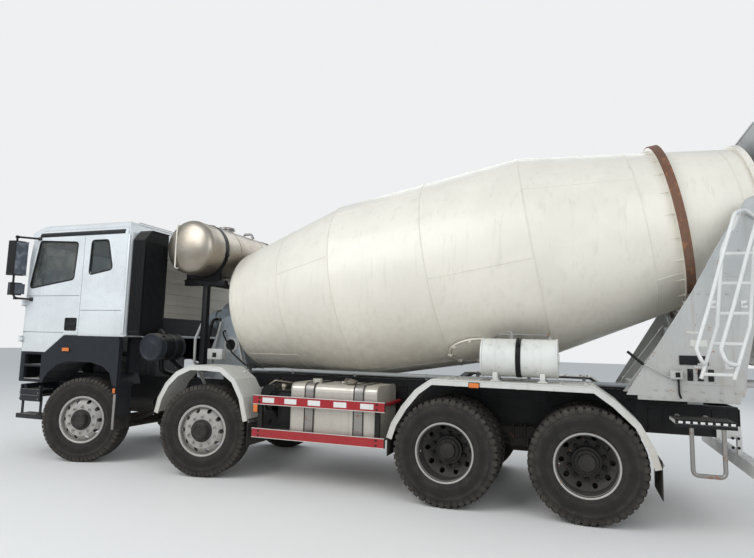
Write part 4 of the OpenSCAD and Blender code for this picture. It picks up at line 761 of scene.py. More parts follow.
class MIXER_OT_drum(bpy.types.Operator):
    """The drum with its welded rings, plates, hatch, mixing blades and track ring"""
    bl_idname = "mixer.drum"
    bl_label = "Drum"

    def execute(self, context):
        seam = context.scene.mixer_sizes.seam
        wall = 0.008
        dish = [(0.79 * math.sin(a), -0.17 * math.cos(a)) for a in angles(0, 90, 13)]
        body = dish + [
            (1.1278, 1.525), (1.1308, 1.541), (1.1318, 1.56), (1.1735, 3.775), (1.174, 3.8), (1.1706, 3.82)]
        mouth = [(0.7195, 5.937), (0.752, 5.939), (0.752, 5.997), (0.699, 5.997)]
        inside = [(1.1626, 3.82), (1.166, 3.8), (1.165, 3.775), (1.1235, 1.56), (1.12, 1.53)]
        inside += [(r - wall, t) for r, t in dish[::-1] if t > -0.06] + [(0, -0.06)]
        shell = lathe(body + mouth + inside, steps=128)
        plate = lathe([(0, -0.176), (0.232, -0.176), (0.24, -0.17), (0.24, -0.15), (0, -0.15)], steps=48)
        fit("drum_shell", [on_drum(shell), on_drum(plate)], "drum_cream", "mixer_drum",
            replaces=["drum"], angle=28)
        beads = [*[hoop((0, 0, t), Z, skin_r(t) + seam * 0.2, seam, 128, 6)
                   for t in (0.03, 0.77, 1.541, 2.67, 3.8, 4.9, 5.8)],
                 *[rod(skin_point(t0, a), skin_point(t1, a), seam * 0.8, 6)
                   for t0, t1, turns in (
                       (0.03, 0.77, (20, 140, 260)), (0.77, 1.541, (75, 195, 315)),
                       (1.541, 2.67, (40, 160, 280)), (2.67, 3.8, (100, 220, 340)),
                       (3.8, 4.9, (62, 182, 302)), (4.9, 5.8, (10, 130, 250)))
                   for a in turns]]
        fit("drum_welds", [on_drum(join(beads))], "drum_cream", "mixer_drum")
        lid = lathe([(0, 0.02), (0.185, 0.02), (0.197, 0.014), (0.2, 0), (0, -0.004)], steps=48)
        rim = lathe([(0.205, -0.006), (0.205, 0.016), (0.228, 0.016), (0.228, -0.006)], steps=48)
        lugs = wreath(slab((0.19, -0.018, 0.012), (0.238, 0.018, 0.026), 0.003, 1), 8)
        nuts = wreath(rod((0.215, 0, 0.02), (0.215, 0, 0.04), 0.012, 6), 8)
        ring_slope = math.atan((SKIN[2][0] - SKIN[1][0]) / (SKIN[2][1] - SKIN[1][1]))
        for turn, t in ((150, 2.95), (330, 2.95)):
            spot = Matrix.Rotation(math.radians(turn), 4, "Z") @ Matrix.Translation((skin_r(t), 0, t))
            lying = Matrix.Rotation(math.radians(90) - ring_slope, 4, "Y")
            oval = spot @ lying @ Matrix.Rotation(math.radians(90), 4, "Z") @ Matrix.Diagonal((1, 1.28, 1, 1))
            parts = [on_drum(twin(p, oval)) for p in (lid, rim, lugs, nuts)]
            fit("drum_hatch_%d" % turn, parts, "drum_cream", "mixer_drum")
        remove(lid, rim, lugs, nuts)
        blades = []
        inner, foot, climb, whole = 0.3, 4.55, 1.38, math.radians(330)
        for start in (0, math.pi):
            strip = trace([(inner, 0, foot), (0.66, 0, foot)])
            modify(strip, "SCREW", angle=whole, screw_offset=climb, steps=64, render_steps=64, axis="Z")
            modify(strip, "SOLIDIFY", thickness=0.008, offset=0)
            lip = tube([(inner * math.cos(a), inner * math.sin(a), foot + climb * a / whole)
                        for a in angles(0, 330, 65)],
                       0.014, 0)
            for part in (strip, lip):
                part.data.transform(Matrix.Rotation(start, 4, "Z"))
                blades.append(part)
        fit("drum_blades", [on_drum(join(blades))], "hopper_grey", "mixer_drum")
        bottom, top = skin_r(RING_T) - 0.002, skin_r(RING_T + RING_W)
        edges = [collar(bottom, RING_R - 0.012, RING_T - 0.004, RING_T + 0.001, steps=128),
                 collar(top - 0.02, RING_R - 0.012, RING_T + RING_W - 0.001, RING_T + RING_W + 0.004,
                        steps=128),
                 wreath(panel([(skin_r(RING_T - 0.11) - 0.003, 0, RING_T - 0.11),
                               (skin_r(RING_T) - 0.003, 0, RING_T), (RING_R - 0.03, 0, RING_T),
                               (RING_R - 0.05, 0, RING_T - 0.012)],
                              (0, 0.008, 0), 0.001, 1),
                        24)]
        fit("ring_edges", [on_drum(join(edges))], "drum_cream", "mixer_drum")
        return {"FINISHED"}


# Water tanks

class MIXER_OT_water_tank(bpy.types.Operator):
    """The stainless water tank with its straps, saddles, gauge and filler"""
    bl_idname = "mixer.water_tank"
    bl_label = "Water tank"

    def execute(self, context):
        x, z, r, half, dish = -1.445, 2.8, 0.35, 1.08, 0.13
        middle = at(x, 0, z)
        ends = [(r * math.sin(a), -(half - dish) - dish * math.cos(a)) for a in angles(0, 90, 14)]
        shell = lathe(ends + [(r2, -h) for r2, h in ends[::-1]], middle, Y, 96)
        seams = [hoop(middle + Y * y, Y, r + 0.0005, 0.0035, 96, 6) for y in (-0.948, -0.32, 0.32, 0.948)]
        fit("water_vessel", [shell, seams], "stainless", replaces=["water_tank"], angle=40)
        bands = []
        for y in (-0.65, 0.65):
            bands.append(collar(r - 0.002, r + 0.006, y - 0.035, y + 0.035, middle, Y, 96))
            for s in (-1, 1):
                bands += [block(x + s * 0.335 - 0.03, y - 0.035, z - 0.07, x + s * 0.335 + 0.03, y + 0.035,
                                z - 0.045),
                          rod(at(x + s * 0.35, y, z - 0.15), at(x + s * 0.35, y, z - 0.02), 0.009, 12),
                          rod(at(x + s * 0.35, y, z - 0.045), at(x + s * 0.35, y, z - 0.028), 0.018, 6)]
        fit("water_straps", bands, "black_paint")
        saddles = []
        for y in (-0.65, 0.65):
            arc = [at(x + 0.352 * math.cos(a), y - 0.03, z + 0.352 * math.sin(a))
                   for a in angles(222, 318, 9)]
            saddles += [panel([at(x - 0.26, y - 0.03, 2.3903), *arc, at(x + 0.26, y - 0.03, 2.3903)],
                              (0, 0.06, 0), 0.003),
                        block(x - 0.285, y - 0.055, 2.3903, x + 0.285, y + 0.055, 2.4023, 0.002),
                        bolts([at(x + a, y + b, 2.4023) for a in (-0.25, 0.25) for b in (-0.04, 0.04)], Z)]
        fit("water_saddles", saddles, "black_paint")
        y = 1.045
        gauge = [tube([at(x + 0.15, 0.96, 2.52), at(x + 0.15, y + 0.018, 2.52), at(x + 0.15, y + 0.018, 3.08),
                       at(x + 0.15, 0.96, 3.08)],
                      0.009, 0.03)]
        fit("water_gauge", gauge, "drum_cream")
        filler = [lathe([(0.1, 0.33), (0.1, 0.365), (0.118, 0.37), (0.118, 0.395), (0.105, 0.402),
                         (0, 0.406)],
                        at(x, 0.2, z), Z, 40),
                  tube([at(x, -0.25, z + 0.34), at(x, -0.25, z + 0.395), at(x - 0.12, -0.25, z + 0.395),
                        at(x - 0.16, -0.25, z + 0.33)],
                       0.018, 0.05),
                  rod(at(x, 0.52, z + 0.335), at(x, 0.52, z + 0.375), 0.03, 24, 0.003)]
        fit("water_filler", filler, "worn_steel")
        return {"FINISHED"}


class MIXER_OT_wash_tank(bpy.types.Operator):
    """The white pressure tank on the rear fender with its flanges, band, feet and pipe"""
    bl_idname = "mixer.wash_tank"
    bl_label = "Pressure tank"

    def execute(self, context):
        x, y, z, r, half = -5.605, 1, 1.508, 0.192, 0.375
        mid = at(x, y, z)
        shell = lathe(
            [(0, -half), (0.184, -half), (0.199, -half + 0.002), (0.2, -half + 0.006), (0.2, -half + 0.014),
             (0.197, -half + 0.017), (r, -half + 0.018), (r, half - 0.018), (0.197, half - 0.017),
             (0.2, half - 0.014), (0.2, half - 0.006), (0.199, half - 0.002), (0.184, half), (0, half)],
            mid, X, 72)
        welds = [hoop(mid + X * s * 0.22, X, r, 0.003, 72, 6) for s in (-1, 1)]
        ends = [rod(mid + X * s * (half - 0.01), mid + X * s * (half + 0.012), 0.05, 32, 0.003)
                for s in (-1, 1)]
        fit("wash_vessel", [shell, welds, ends], "tank_white", replaces=["wash_tank"], angle=40)
        feet = []
        for dx in (-0.23, 0.23):
            arc = [at(x + dx - 0.025, y + 0.195 * math.cos(a), z + 0.195 * math.sin(a))
                   for a in angles(228, 312, 9)]
            feet += [panel([at(x + dx - 0.025, y - 0.13, 1.271), *arc, at(x + dx - 0.025, y + 0.13, 1.271)],
                           (0.05, 0, 0), 0.003),
                     block(x + dx - 0.05, y - 0.15, 1.271, x + dx + 0.05, y + 0.15, 1.279, 0.002),
                     bolts([at(x + dx + a, y + b, 1.279) for a in (-0.03, 0.03) for b in (-0.135, 0.135)], Z,
                           0.009, 0.007)]
        fit("wash_feet", feet, "tank_white")
        band = [collar(r - 0.001, r + 0.006, -0.025, 0.025, mid, X, 72),
                block(x - 0.02, y + 0.14, z + 0.13, x + 0.02, y + 0.175, z + 0.165, 0.003),
                rod(at(x, y + 0.12, z + 0.2), at(x, y + 0.185, z + 0.12), 0.008, 12)]
        fit("wash_band", band, "black_paint")
        pipe = [tube([at(x - 0.3, y, z + 0.18), at(x - 0.3, y, z + 0.235), at(x + 0.2, y, z + 0.235),
                      at(x + 0.26, y - 0.08, z + 0.2), at(x + 0.3, y - 0.1, z + 0.12)],
                     0.014, 0.05),
                rod(at(x - 0.3, y, z + 0.17), at(x - 0.3, y, z + 0.21), 0.026, 20, 0.002),
                rod(at(x + 0.08, y, z + 0.18), at(x + 0.08, y, z + 0.235), 0.02, 6),
                rod(at(x + 0.08, y, z + 0.225), at(x + 0.08, y, z + 0.262), 0.013, 12, 0.002),
                block(x + 0.055, y - 0.008, z + 0.258, x + 0.125, y + 0.008, z + 0.268, 0.003)]
        fit("wash_pipe", pipe, "worn_steel")
        return {"FINISHED"}


# Lamps

def lens(lo, hi, normal_x, n=7):
    """A lamp lens with moulded ribs on the face that looks along X."""
    lo, hi = Vector(lo), Vector(hi)
    face = hi.x if normal_x > 0 else lo.x
    wide = (hi.y - lo.y - 0.02) / n
    y = lo.y + 0.01 + wide * 0.15
    rib = slab((face - 0.004, y, lo.z + 0.012), (face + 0.004, y + wide * 0.7, hi.z - 0.012), 0.002, 1)
    return [slab(lo, hi, 0.006), row(rib, n, (0, wide, 0))]


def side_lamp(x, y, z, long, high):
    """A marker lamp on the left side: an orange lens on a black foot."""
    x0, x1, z0, z1, step = x - long / 2, x + long / 2, z - high / 2, z + high / 2, long / 6
    foot = block(x0 - 0.006, y, z0 - 0.006, x1 + 0.006, y + 0.008, z1 + 0.006, 0.003)
    glass = block(x0, y + 0.006, z0, x1, y + 0.022, z1, 0.006, 3)
    rib = block(x0 + step - 0.002, y + 0.018, z0 + 0.008, x0 + step + 0.002, y + 0.024, z1 - 0.008, 0.001, 1)
    return foot, join([glass, row(rib, 5, (step, 0, 0))])


class MIXER_OT_lamps(bpy.types.Operator):
    """Head lamps, indicators, side markers and rear lamps"""
    bl_idname = "mixer.lamps"
    bl_label = "Lamps"

    def execute(self, context):
        front = 1.2035
        glass = both(join(lens(at(front - 0.03, 0.655, 0.795), at(front, 0.845, 0.885), 1, 8)))
        fit("head_lamps", glass, "lamp_clear", replaces=["lamps"])
        turn = both(join(lens(at(front - 0.03, 0.855, 0.795), at(front, 0.945, 0.885), 1, 4)))
        fit("front_indicators", turn, "lamp_orange")
        bezel = [block(front - 0.045, lo[0], lo[1], front - 0.002, hi[0], hi[1], 0.002, 1)
                 for lo, hi in (
                     ((0.642, 0.783), (0.958, 0.793)), ((0.642, 0.887), (0.958, 0.897)),
                     ((0.642, 0.783), (0.652, 0.897)), ((0.948, 0.783), (0.958, 0.897)),
                     ((0.846, 0.783), (0.854, 0.897)))]
        pair("head_lamp_frames", bezel, "hub_black")
        back = -7.7403
        for name, y0, y1, finish in (
                ("rear_lamp_red", 0.712, 0.845, "lamp_red"), ("rear_lamp_clear", 0.849, 0.915, "lamp_clear"),
                ("rear_lamp_orange", 0.919, 0.995, "lamp_orange"),
                ("rear_lamp_stop", 0.999, 1.108, "lamp_red")):
            pair(name, lens(at(back, y0, 0.548), at(back + 0.035, y1, 0.617), -1, 4), finish)
        pair("rear_lamp_tray", [block(back + 0.025, 0.7, 0.54, -7.7007, 1.12, 0.625, 0.006)],
             "hub_black")
        feet, markers, cab_feet, cab_markers = [], [], [], []
        for x, y, z, long, high in (
                (-2.692, 1.222, 0.85, 0.052, 0.084), (-5.185, 1.2455, 1.226, 0.1, 0.045),
                (-0.645, 1.2455, 0.94, 0.036, 0.06), (0.22, 1.2445, 1.435, 0.115, 0.045)):
            foot, lamp = side_lamp(x, y, z, long, high)
            on_cab = x > -1
            (cab_feet if on_cab else feet).extend(both(foot))
            (cab_markers if on_cab else markers).extend(both(lamp))
        fit("cab_marker_feet", cab_feet, "hub_black", "cab")
        fit("cab_markers", cab_markers, "lamp_orange", "cab")
        fit("side_marker_feet", feet, "hub_black")
        fit("side_markers", markers, "lamp_orange")
        return {"FINISHED"}


# Cab

SIDE = 1.22  # the side of the cab and the doors


def gasket(corners, y, r=0.01, bend=0.05):
    """A rubber seal round a window on the side, from the window's corners in X and Z."""
    points = [at(x, y, z) for x, z in corners]
    start = (points[0] + points[1]) / 2
    return tube([start, *points[1:], points[0], start], r, bend)


def screen_x(z):
    """Front face of the windscreen at a height."""
    return 1.17 - 0.155 * (z - 2.13) / 0.795


DOOR_WINDOW = [(1.02, 2.255), (0.225, 2.375), (0.19, 2.88), (0.88, 2.92)]
REAR_WINDOW = [(-0.035, 2.43), (-0.43, 2.5), (-0.33, 2.895), (-0.05, 2.895)]


def mirrored(name, parts, bodies, finish):
    """Fits a piece on the left door and its mirror image on the right one."""
    left, right = bodies
    piece = join(parts)
    copy = twin(piece, Matrix.Scale(-1, 4, Y))
    fit(name + "_left", [piece], finish, left)
    fit(name + "_right", [copy], finish, right)


class MIXER_OT_cab(bpy.types.Operator):
    """Window seals, drip rails, wipers, grille, plates and panel lines of the cab"""
    bl_idname = "mixer.cab"
    bl_label = "Cab"

    def execute(self, context):
        seals = both(gasket(REAR_WINDOW, SIDE - 0.002))
        edge = [at(screen_x(z) + 0.001, y, z)
                for y, z in ((0, 2.19), (1.08, 2.19), (1.04, 2.89), (-1.04, 2.89), (-1.08, 2.19), (0, 2.19))]
        seals.append(tube(edge, 0.012, 0.06))
        fit("window_seals", seals, "rubber", "cab")
        slope = Vector((0, -0.13, 0.158)).normalized()
        out = Vector((0, 0.772, 0.635))
        a = at(-0.6, 1.2185, 2.968)
        corner = at(-0.6, 1.2185, 3.004)
        b = corner + slope * 0.07
        band = panel(
            [a - Y * 0.004, a + Y * 0.004, corner + Y * 0.004 + Z * 0.002, b + out * 0.005, b - out * 0.004,
             corner - Y * 0.004],
            (1.5, 0, 0), 0.002, 1)
        pair("roof_bands", [band], "mirror_black", "cab")
        rail = [at(-0.655, 1.224, 2.2), at(-0.655, 1.224, 3), at(-0.6, 1.168, 3.078), at(0.8, 1.168, 3.078),
                at(0.93, 1.175, 3.06), at(0.985, 1.214, 2.93), at(1.02, 1.2185, 2.83)]
        rails = [*both(tube(rail, 0.011, 0.06)), *both(block(-0.69, 1.2165, 1.66, -0.64, 1.228, 2.96, 0.005))]
        fit("drip_rails", rails, "cab_white", "cab")
        roof = [block(-0.42, -0.33, 3.166, 0.22, 0.33, 3.186, 0.01),
                block(-0.36, -0.27, 3.184, 0.16, 0.27, 3.196, 0.008),
                *[block(0.62, y - 0.03, 3.166, 0.68, y + 0.03, 3.181, 0.006)
                  for y in (-0.9, -0.45, 0.45, 0.9)],
                *[block(x - 0.015, -0.95, 3.166, x + 0.015, 0.95, 3.173, 0.004, 1) for x in (-0.56, 0.34)]]
        fit("roof_hatch", roof, "cab_white", "cab")
        # The back wall's sheet and ribs take a darker beige than the light grey wall: painted shade.
        wall = [*[block(-0.712, -1.1, z, -0.703, 1.1, z + 0.055, 0.004, 1)
                  for z in (1.97, 2.08, 2.24, 2.4, 2.56, 2.72, 2.88)],
                block(-0.706, -1.13, 1.9, -0.698, 1.13, 2.965, 0.003, 1)]
        fit("cab_back_ribs", wall, "wall_beige", "cab")
        fit("cab_back_foot", [block(-0.7065, -1.13, 1.655, -0.698, 1.13, 1.898, 0.003, 1)],
            "hub_black", "cab")
        wipers = []
        for y in (0.3, -0.62):
            foot = at(screen_x(2.17) + 0.002, y, 2.165)
            tip = at(screen_x(2.6) + 0.03, y + 0.42, 2.6)
            wipers += [rod(foot, foot + X * 0.035, 0.022, 24, 0.004),
                       tube([foot + X * 0.03, foot.lerp(tip, 0.15) + X * 0.028, tip], 0.008, 0.04)]
            n = (tip - foot).normalized()
            wipers += [tube([tip - n * 0.33 + X * 0.008 - Y * 0.02, tip - X * 0.004,
                             tip + n * 0.22 - X * 0.012 + Y * 0.02],
                            0.007, 0.05),
                       slab(tip + Vector((-0.012, -0.018, -0.018)), tip + Vector((0.008, 0.018, 0.018)),
                            0.004)]
        fit("wipers", wipers, "hub_black", "cab")
        face = [*[block(1.16, -0.615, z - 0.008, 1.176, 0.615, z + 0.008, 0.004)
                  for z in (1.0075, 1.0925, 1.1725, 1.2525, 1.3325)],
                block(1.169, -0.66, 2.02, 1.176, 0.66, 2.1, 0.004),
                *[rod(at(1.168, y, 2.06), at(1.182, y, 2.06), 0.012, 16, 0.002) for y in (-0.62, 0.62)]]
        fit("grille_bars", face, "grey_plastic", "cab")
        mesh = [row(block(1.131, -0.61, 1.02, 1.135, 0.61, 1.023, 0, 1), 27, (0, 0, 0.012)),
                row(block(1.13, -0.6, 1.01, 1.134, -0.597, 1.345, 0, 1), 51, (0, 0.024, 0))]
        fit("grille_mesh", mesh, "hub_black", "cab")
        seams = [*[block(1.1685, -1.02, z, 1.1712, 1.02, z + 0.006, 0, 1) for z in (1.47, 1.96)],
                 block(-0.62, SIDE - 0.002, 1.955, 0.06, SIDE + 0.0012, 1.96, 0, 1)]
        fit("panel_lines", [seams[0], seams[1], *both(seams[2])], "hub_black", "cab")
        front_lid = [
            *[block(1.166, y0, 1.5, 1.175, y1, 1.93, 0.008) for y0, y1 in ((-0.98, -0.34), (0.34, 0.98))],
            block(1.166, -0.3, 1.5, 1.175, 0.3, 1.93, 0.008)]
        fit("front_lids", front_lid, "cab_white", "cab")
        plate = block(1.174, -0.16, 1.66, 1.179, 0.16, 1.76, 0.006)
        fit("front_badge_place", [plate], "tank_white", "cab")
        visor = [*[block(1.052, y, 3.028, 1.128, y + 0.012, 3.058, 0.003, 1)
                   for y in (-1, -0.5, 0, 0.5, 0.99)],
                 tube([at(1.196, -1.055, 2.982), at(1.196, 1.055, 2.982)], 0.008, 0)]
        fit("visor_ribs", visor, "grey_plastic", "cab")
        return {"FINISHED"}


class MIXER_OT_doors(bpy.types.Operator):
    """Window seals, handles, locks and mirror glass that move with the doors"""
    bl_idname = "mixer.doors"
    bl_label = "Doors"

    def execute(self, context):
        doors = ("door_left", "door_right")
        mirrored("door_seal", [gasket(DOOR_WINDOW, SIDE - 0.002)], doors, "rubber")
        rim = [(0.112, 1.687), (0.318, 1.687), (0.318, 1.853), (0.112, 1.853)]
        cup = [block(0.112, 1.2055, 1.687, 0.318, 1.2085, 1.853, 0.001, 1),
               gasket(rim, 1.2175, 0.005, 0.02),
               block(0.128, 1.208, 1.745, 0.302, 1.2235, 1.79, 0.008, 3),
               rod(at(0.152, 1.208, 1.72), at(0.152, 1.214, 1.72), 0.011, 20, 0.002)]
        mirrored("door_handle", cup, doors, "mirror_black")
        line = [block(x, SIDE - 0.002, z, 1.07, SIDE + 0.0012, z + 0.005, 0, 1)
                for x, z in ((0.1, 2.15), (0.33, 1.655))]
        mirrored("door_line", line, doors, "hub_black")
        trim = [panel([at(0.99, 1.318, z0), at(1.052, 1.447, z0), at(1.048, 1.449, z0), at(0.986, 1.32, z0)],
                      (0, 0, z1 - z0), 0)
                for z0, z1 in ((2.435, 2.88), (2.165, 2.305))]
        mirrored("mirror_face", trim, doors, "mirror_glass")
        lip = [tube([at(0.988, 1.315, z), at(1.08, 1.328, z), at(1.176, 1.442, z), at(1.168, 1.478, z),
                     at(1.06, 1.459, z)],
                    0.006, 0.02)
               for z in (2.43, 2.885)]
        mirrored("mirror_lip", lip, doors, "mirror_black")
        brackets = [bolts([at(0.95, 1.236, 2.105), at(0.975, 1.236, 2.105), at(0.883, 1.236, 2.95),
                           at(0.905, 1.236, 2.95)],
                          Y, 0.007, 0.005)]
        mirrored("mirror_bolt", brackets, doors, "worn_steel")
        return {"FINISHED"}


def cushion(lo, hi, crown, tip=0, foot=(0, 0, 0)):
    """A padded block with a crowned face, leaned back by tip about its foot."""
    lo, hi, foot = Vector(lo), Vector(hi), Vector(foot)
    clear()
    bpy.ops.mesh.primitive_cube_add(size=1, location=(0, 0, 0))
    pad = bpy.context.object
    edit(pad)
    bpy.ops.mesh.subdivide(number_cuts=5)
    modify(done(), "CAST", cast_type="SPHERE", factor=crown, radius=0.55)
    pad.scale = hi - lo
    modify(settle(), "SUBSURF", levels=2, render_levels=2)
    pad.data.transform(Matrix.Translation((lo + hi) / 2))
    if tip:
        pad.data.transform(
            Matrix.Translation(foot) @ Matrix.Rotation(tip, 4, "Y") @ Matrix.Translation(-foot))
    return pad


class MIXER_OT_seats(bpy.types.Operator):
    """Two cab seats with padded cushions, backs and head rests"""
    bl_idname = "mixer.seats"
    bl_label = "Seats"

    def execute(self, context):
        frames = []
        for side, y in (("left", 0.68), ("right", -0.68)):
            tip = -math.radians(11)
            foot = at(-0.1, y, 1.98)
            base = cushion(at(-0.12, y - 0.25, 1.885), at(0.42, y + 0.25, 2.025), 0.2)
            back = cushion(at(-0.155, y - 0.24, 1.98), at(-0.035, y + 0.24, 2.6), 0.18, tip, foot)
            head = cushion(at(-0.145, y - 0.14, 2.615), at(-0.055, y + 0.14, 2.8), 0.3, tip, foot)
            piping = [tube([at(-0.05, y + s * 0.155, 2.02), at(0.15, y + s * 0.155, 2.026),
                            at(0.36, y + s * 0.155, 2.016)],
                           0.004, 0.05)
                      for s in (-1, 1)]
            instead = ["seats"] if side == "left" else ()
            fit("seat_%s_base" % side, [base], "seat_cloth", "cab", instead, 60)
            fit("seat_%s_back" % side, [back], "seat_cloth", "cab", angle=60)
            fit("seat_%s_head" % side, [head], "seat_cloth", "cab", angle=60)
            frames += piping
            frames += [block(-0.05, y - 0.18, 1.6605, 0.28, y + 0.18, 1.7, 0.01),
                       block(-0.02, y - 0.15, 1.7, 0.25, y + 0.15, 1.89, 0.03, 3),
                       block(-0.13, y - 0.22, 1.87, 0.36, y + 0.22, 1.905, 0.012)]
            for s in (-1, 1):
                frames += [rod(at(-0.215, y + s * 0.06, 2.55), at(-0.235, y + s * 0.06, 2.68), 0.008, 12),
                           block(-0.16, y + s * 0.262 - 0.012, 1.9, -0.03, y + s * 0.262 + 0.012, 2.03, 0.01)]
        fit("seat_frames", frames, "dash_grey", "cab")
        return {"FINISHED"}


# Front of the truck

def tread_plate(lo, hi, n=9):
    """A step's top: ribs across it inside a raised edge."""
    lo, hi = Vector(lo), Vector(hi)
    wide = (hi.x - lo.x - 0.03) / n
    ribs = row(slab((lo.x + 0.015, lo.y + 0.012, hi.z - 0.001),
                    (lo.x + 0.015 + wide * 0.5, hi.y - 0.012, hi.z + 0.004), 0.0015, 1),
               n, (wide, 0, 0))
    edge = [slab((lo.x, lo.y, hi.z - 0.001), (hi.x, lo.y + 0.008, hi.z + 0.006), 0.001, 1),
            slab((lo.x, hi.y - 0.008, hi.z - 0.001), (hi.x, hi.y, hi.z + 0.006), 0.001, 1)]
    return [ribs, edge]


class MIXER_OT_bumper(bpy.types.Operator):
    """Steps, joints, bolts and fog lamp covers of the bumper, and the flares' steps"""
    bl_idname = "mixer.bumper"
    bl_label = "Bumper and steps"

    def execute(self, context):
        low = [*tread_plate(at(0.66, 1.02, 0.862), at(0.98, 1.232, 0.884)),
               *tread_plate(at(0.68, 1.05, 0.528), at(1.02, 1.232, 0.558))]
        pair("bumper_treads", low, "worn_steel")
        high = []
        for z in (1.005, 1.195):
            high += tread_plate(at(0.65, 1, z), at(0.99, 1.208, z + 0.02))
        pair("flare_treads", high, "blank_plate", "cab")
        trim = [block(1.2125, -0.56, 0.755, 1.2185, 0.56, 0.85, 0.006),
                block(1.2125, -0.5, 0.875, 1.2175, 0.5, 0.93, 0.005),
                *[block(1.2, y - 0.035, 0.735, 1.222, y + 0.035, 0.8, 0.008) for y in (-0.6, 0.6)]]
        fit("bumper_plates", trim, "hub_black")
        plate = block(1.218, -0.26, 0.77, 1.221, 0.26, 0.835, 0.004)
        fit("front_plate_blank", [plate], "blank_plate")
        heads = bolts(grid(1.2125, (-0.66, -0.58, 0.58, 0.66), 0.905), X, 0.008, 0.005)
        side = both(bolts(grid((0.66, 0.99), 1.239, (0.76, 0.84)), Y, 0.008, 0.005))
        line = both(block(0.64, 1.2385, 0.806, 1.02, 1.2412, 0.81, 0, 1))
        fit("bumper_bolts", [heads, side, line], "worn_steel")
        rims = both(join([block(0.66, 1.243, 1.2185, 0.98, 1.2465, 1.2245, 0.001, 1),
                          block(0.66, 1.243, 1.3555, 0.98, 1.2465, 1.3615, 0.001, 1)]))
        bead = both(tube([at(0.604, 1.24, 0.99), at(0.589, 1.24, 1.045), at(0.503, 1.24, 1.142),
                          at(0.362, 1.24, 1.238), at(0.18, 1.24, 1.288), at(-0.22, 1.24, 1.288),
                          at(-0.422, 1.24, 1.243), at(-0.542, 1.24, 1.163), at(-0.602, 1.24, 1.003)],
                         0.008, 0.05))
        fit("flare_beads", [rims, bead], "grey_plastic", "cab")
        flap = both(join([block(-0.6455, 0.965, 0.452, -0.6395, 1.232, 0.6, 0.002),
                          bolts(grid(-0.629, (1, 1.1, 1.2), 0.985), X, 0.008, 0.005)]))
        fit("front_flap_strips", flap, "hub_black", "cab")
        pair("front_flap_edges", [block(-0.664, 1.232, 0.46, -0.628, 1.2455, 0.895, 0.003)],
             "worn_steel", "cab")
        return {"FINISHED"}


class MIXER_OT_intake(bpy.types.Operator):
    """Louvres of the air intake behind the cab and the filter canister's bands"""
    bl_idname = "mixer.intake"
    bl_label = "Air intake"

    def execute(self, context):
        ribs = row(block(-0.912, 1.2035, 1.7, -0.904, 1.2105, 2.86, 0.002, 1), 9, (0.0205, 0, 0))
        edges = [block(-0.922, 1.2035, z, -0.733, 1.211, z + 0.016, 0.003, 1) for z in (1.675, 2.862)]
        rear = row(block(-0.931, 0.8, 1.7, -0.924, 0.808, 2.86, 0.002, 1), 18, (0, 0.021, 0))
        front = row(block(-0.7335, 0.8, 1.74, -0.7265, 1.17, 1.752, 0.002, 1), 28, (0, 0, 0.04))
        cap = [block(-0.935, 0.76, 3.004, -0.72, 1.09, 3.016, 0.004),
               block(-0.935, 0.765, 1.638, -0.72, 1.195, 1.653, 0.004)]
        fit("intake_louvres", [ribs, edges, rear, front, cap], "black_paint")
        middle = at(-1.09, 0, 1.5)
        can = [lathe([(0, 1.172), (0.05, 1.176), (0.062, 1.176), (0.075, 1.167), (0.14, 1.167), (0.15, 1.174),
                      (0.168, 1.172), (0.174, 1.16), (0.174, 1.085), (0.179, 1.082), (0.179, 1.066),
                      (0.167, 1.064)],
                     middle, Y, 64),
               collar(0.167, 0.171, 0.86, 0.9, middle, Y, 64),
               lathe([(0.167, 0.7), (0.173, 0.703), (0.173, 0.735), (0.167, 0.738)], middle, Y, 64)]
        for a in angles(30, 330, 4):
            c = middle + Vector((0.178 * math.cos(a), 1.075, 0.178 * math.sin(a)))
            can.append(slab(c - Vector((0.01, 0.028, 0.01)), c + Vector((0.01, 0.028, 0.01)), 0.003))
        fit("filter_bands", can, "canister_blue")
        return {"FINISHED"}


# Chassis

class MIXER_OT_guards(bpy.types.Operator):
    """Reflectors, end caps and bolts of the red side guards"""
    bl_idname = "mixer.guards"
    bl_label = "Side guards"

    def execute(self, context):
        patches = [block(x - 0.075, 1.2445, 0.921, x + 0.075, 1.2465, 0.977, 0.001, 1)
                   for x in (-2.86, -3.14, -3.43, -3.74, -4.05)]
        pair("guard_reflectors", patches, "reflector_white")
        caps = [block(x - 0.004, 1.2125, z - 0.002, x + 0.004, 1.2465, z + 0.1, 0.003, 1)
                for x in (-2.66, -4.25) for z in (0.532, 0.9)]
        heads = bolts(
            [at(x, 1.2445, z + 0.049 + d) for x in (-2.745, -4.16) for z in (0.532, 0.9)
             for d in (-0.025, 0.025)],
            Y, 0.009, 0.006)
        pair("guard_ends", [*caps, heads], "hub_black")
        # Pale rods along the edges of both guard rails: painted highlights.
        seams = [rod(at(-4.25, 1.2435, z + h), at(-2.66, 1.2435, z + h), 0.004, 8) for z in (0.532, 0.9)
                 for h in (0, 0.098)]
        pair("guard_edges", seams, "blank_plate")
        sleeves = [block(x - 0.0275, 1.1825, 0.634, x + 0.0275, 1.2225, 0.896, 0.002, 1)
                   for x in (-2.745, -4.16)]
        pair("guard_sleeves", sleeves, "black_paint")
        return {"FINISHED"}


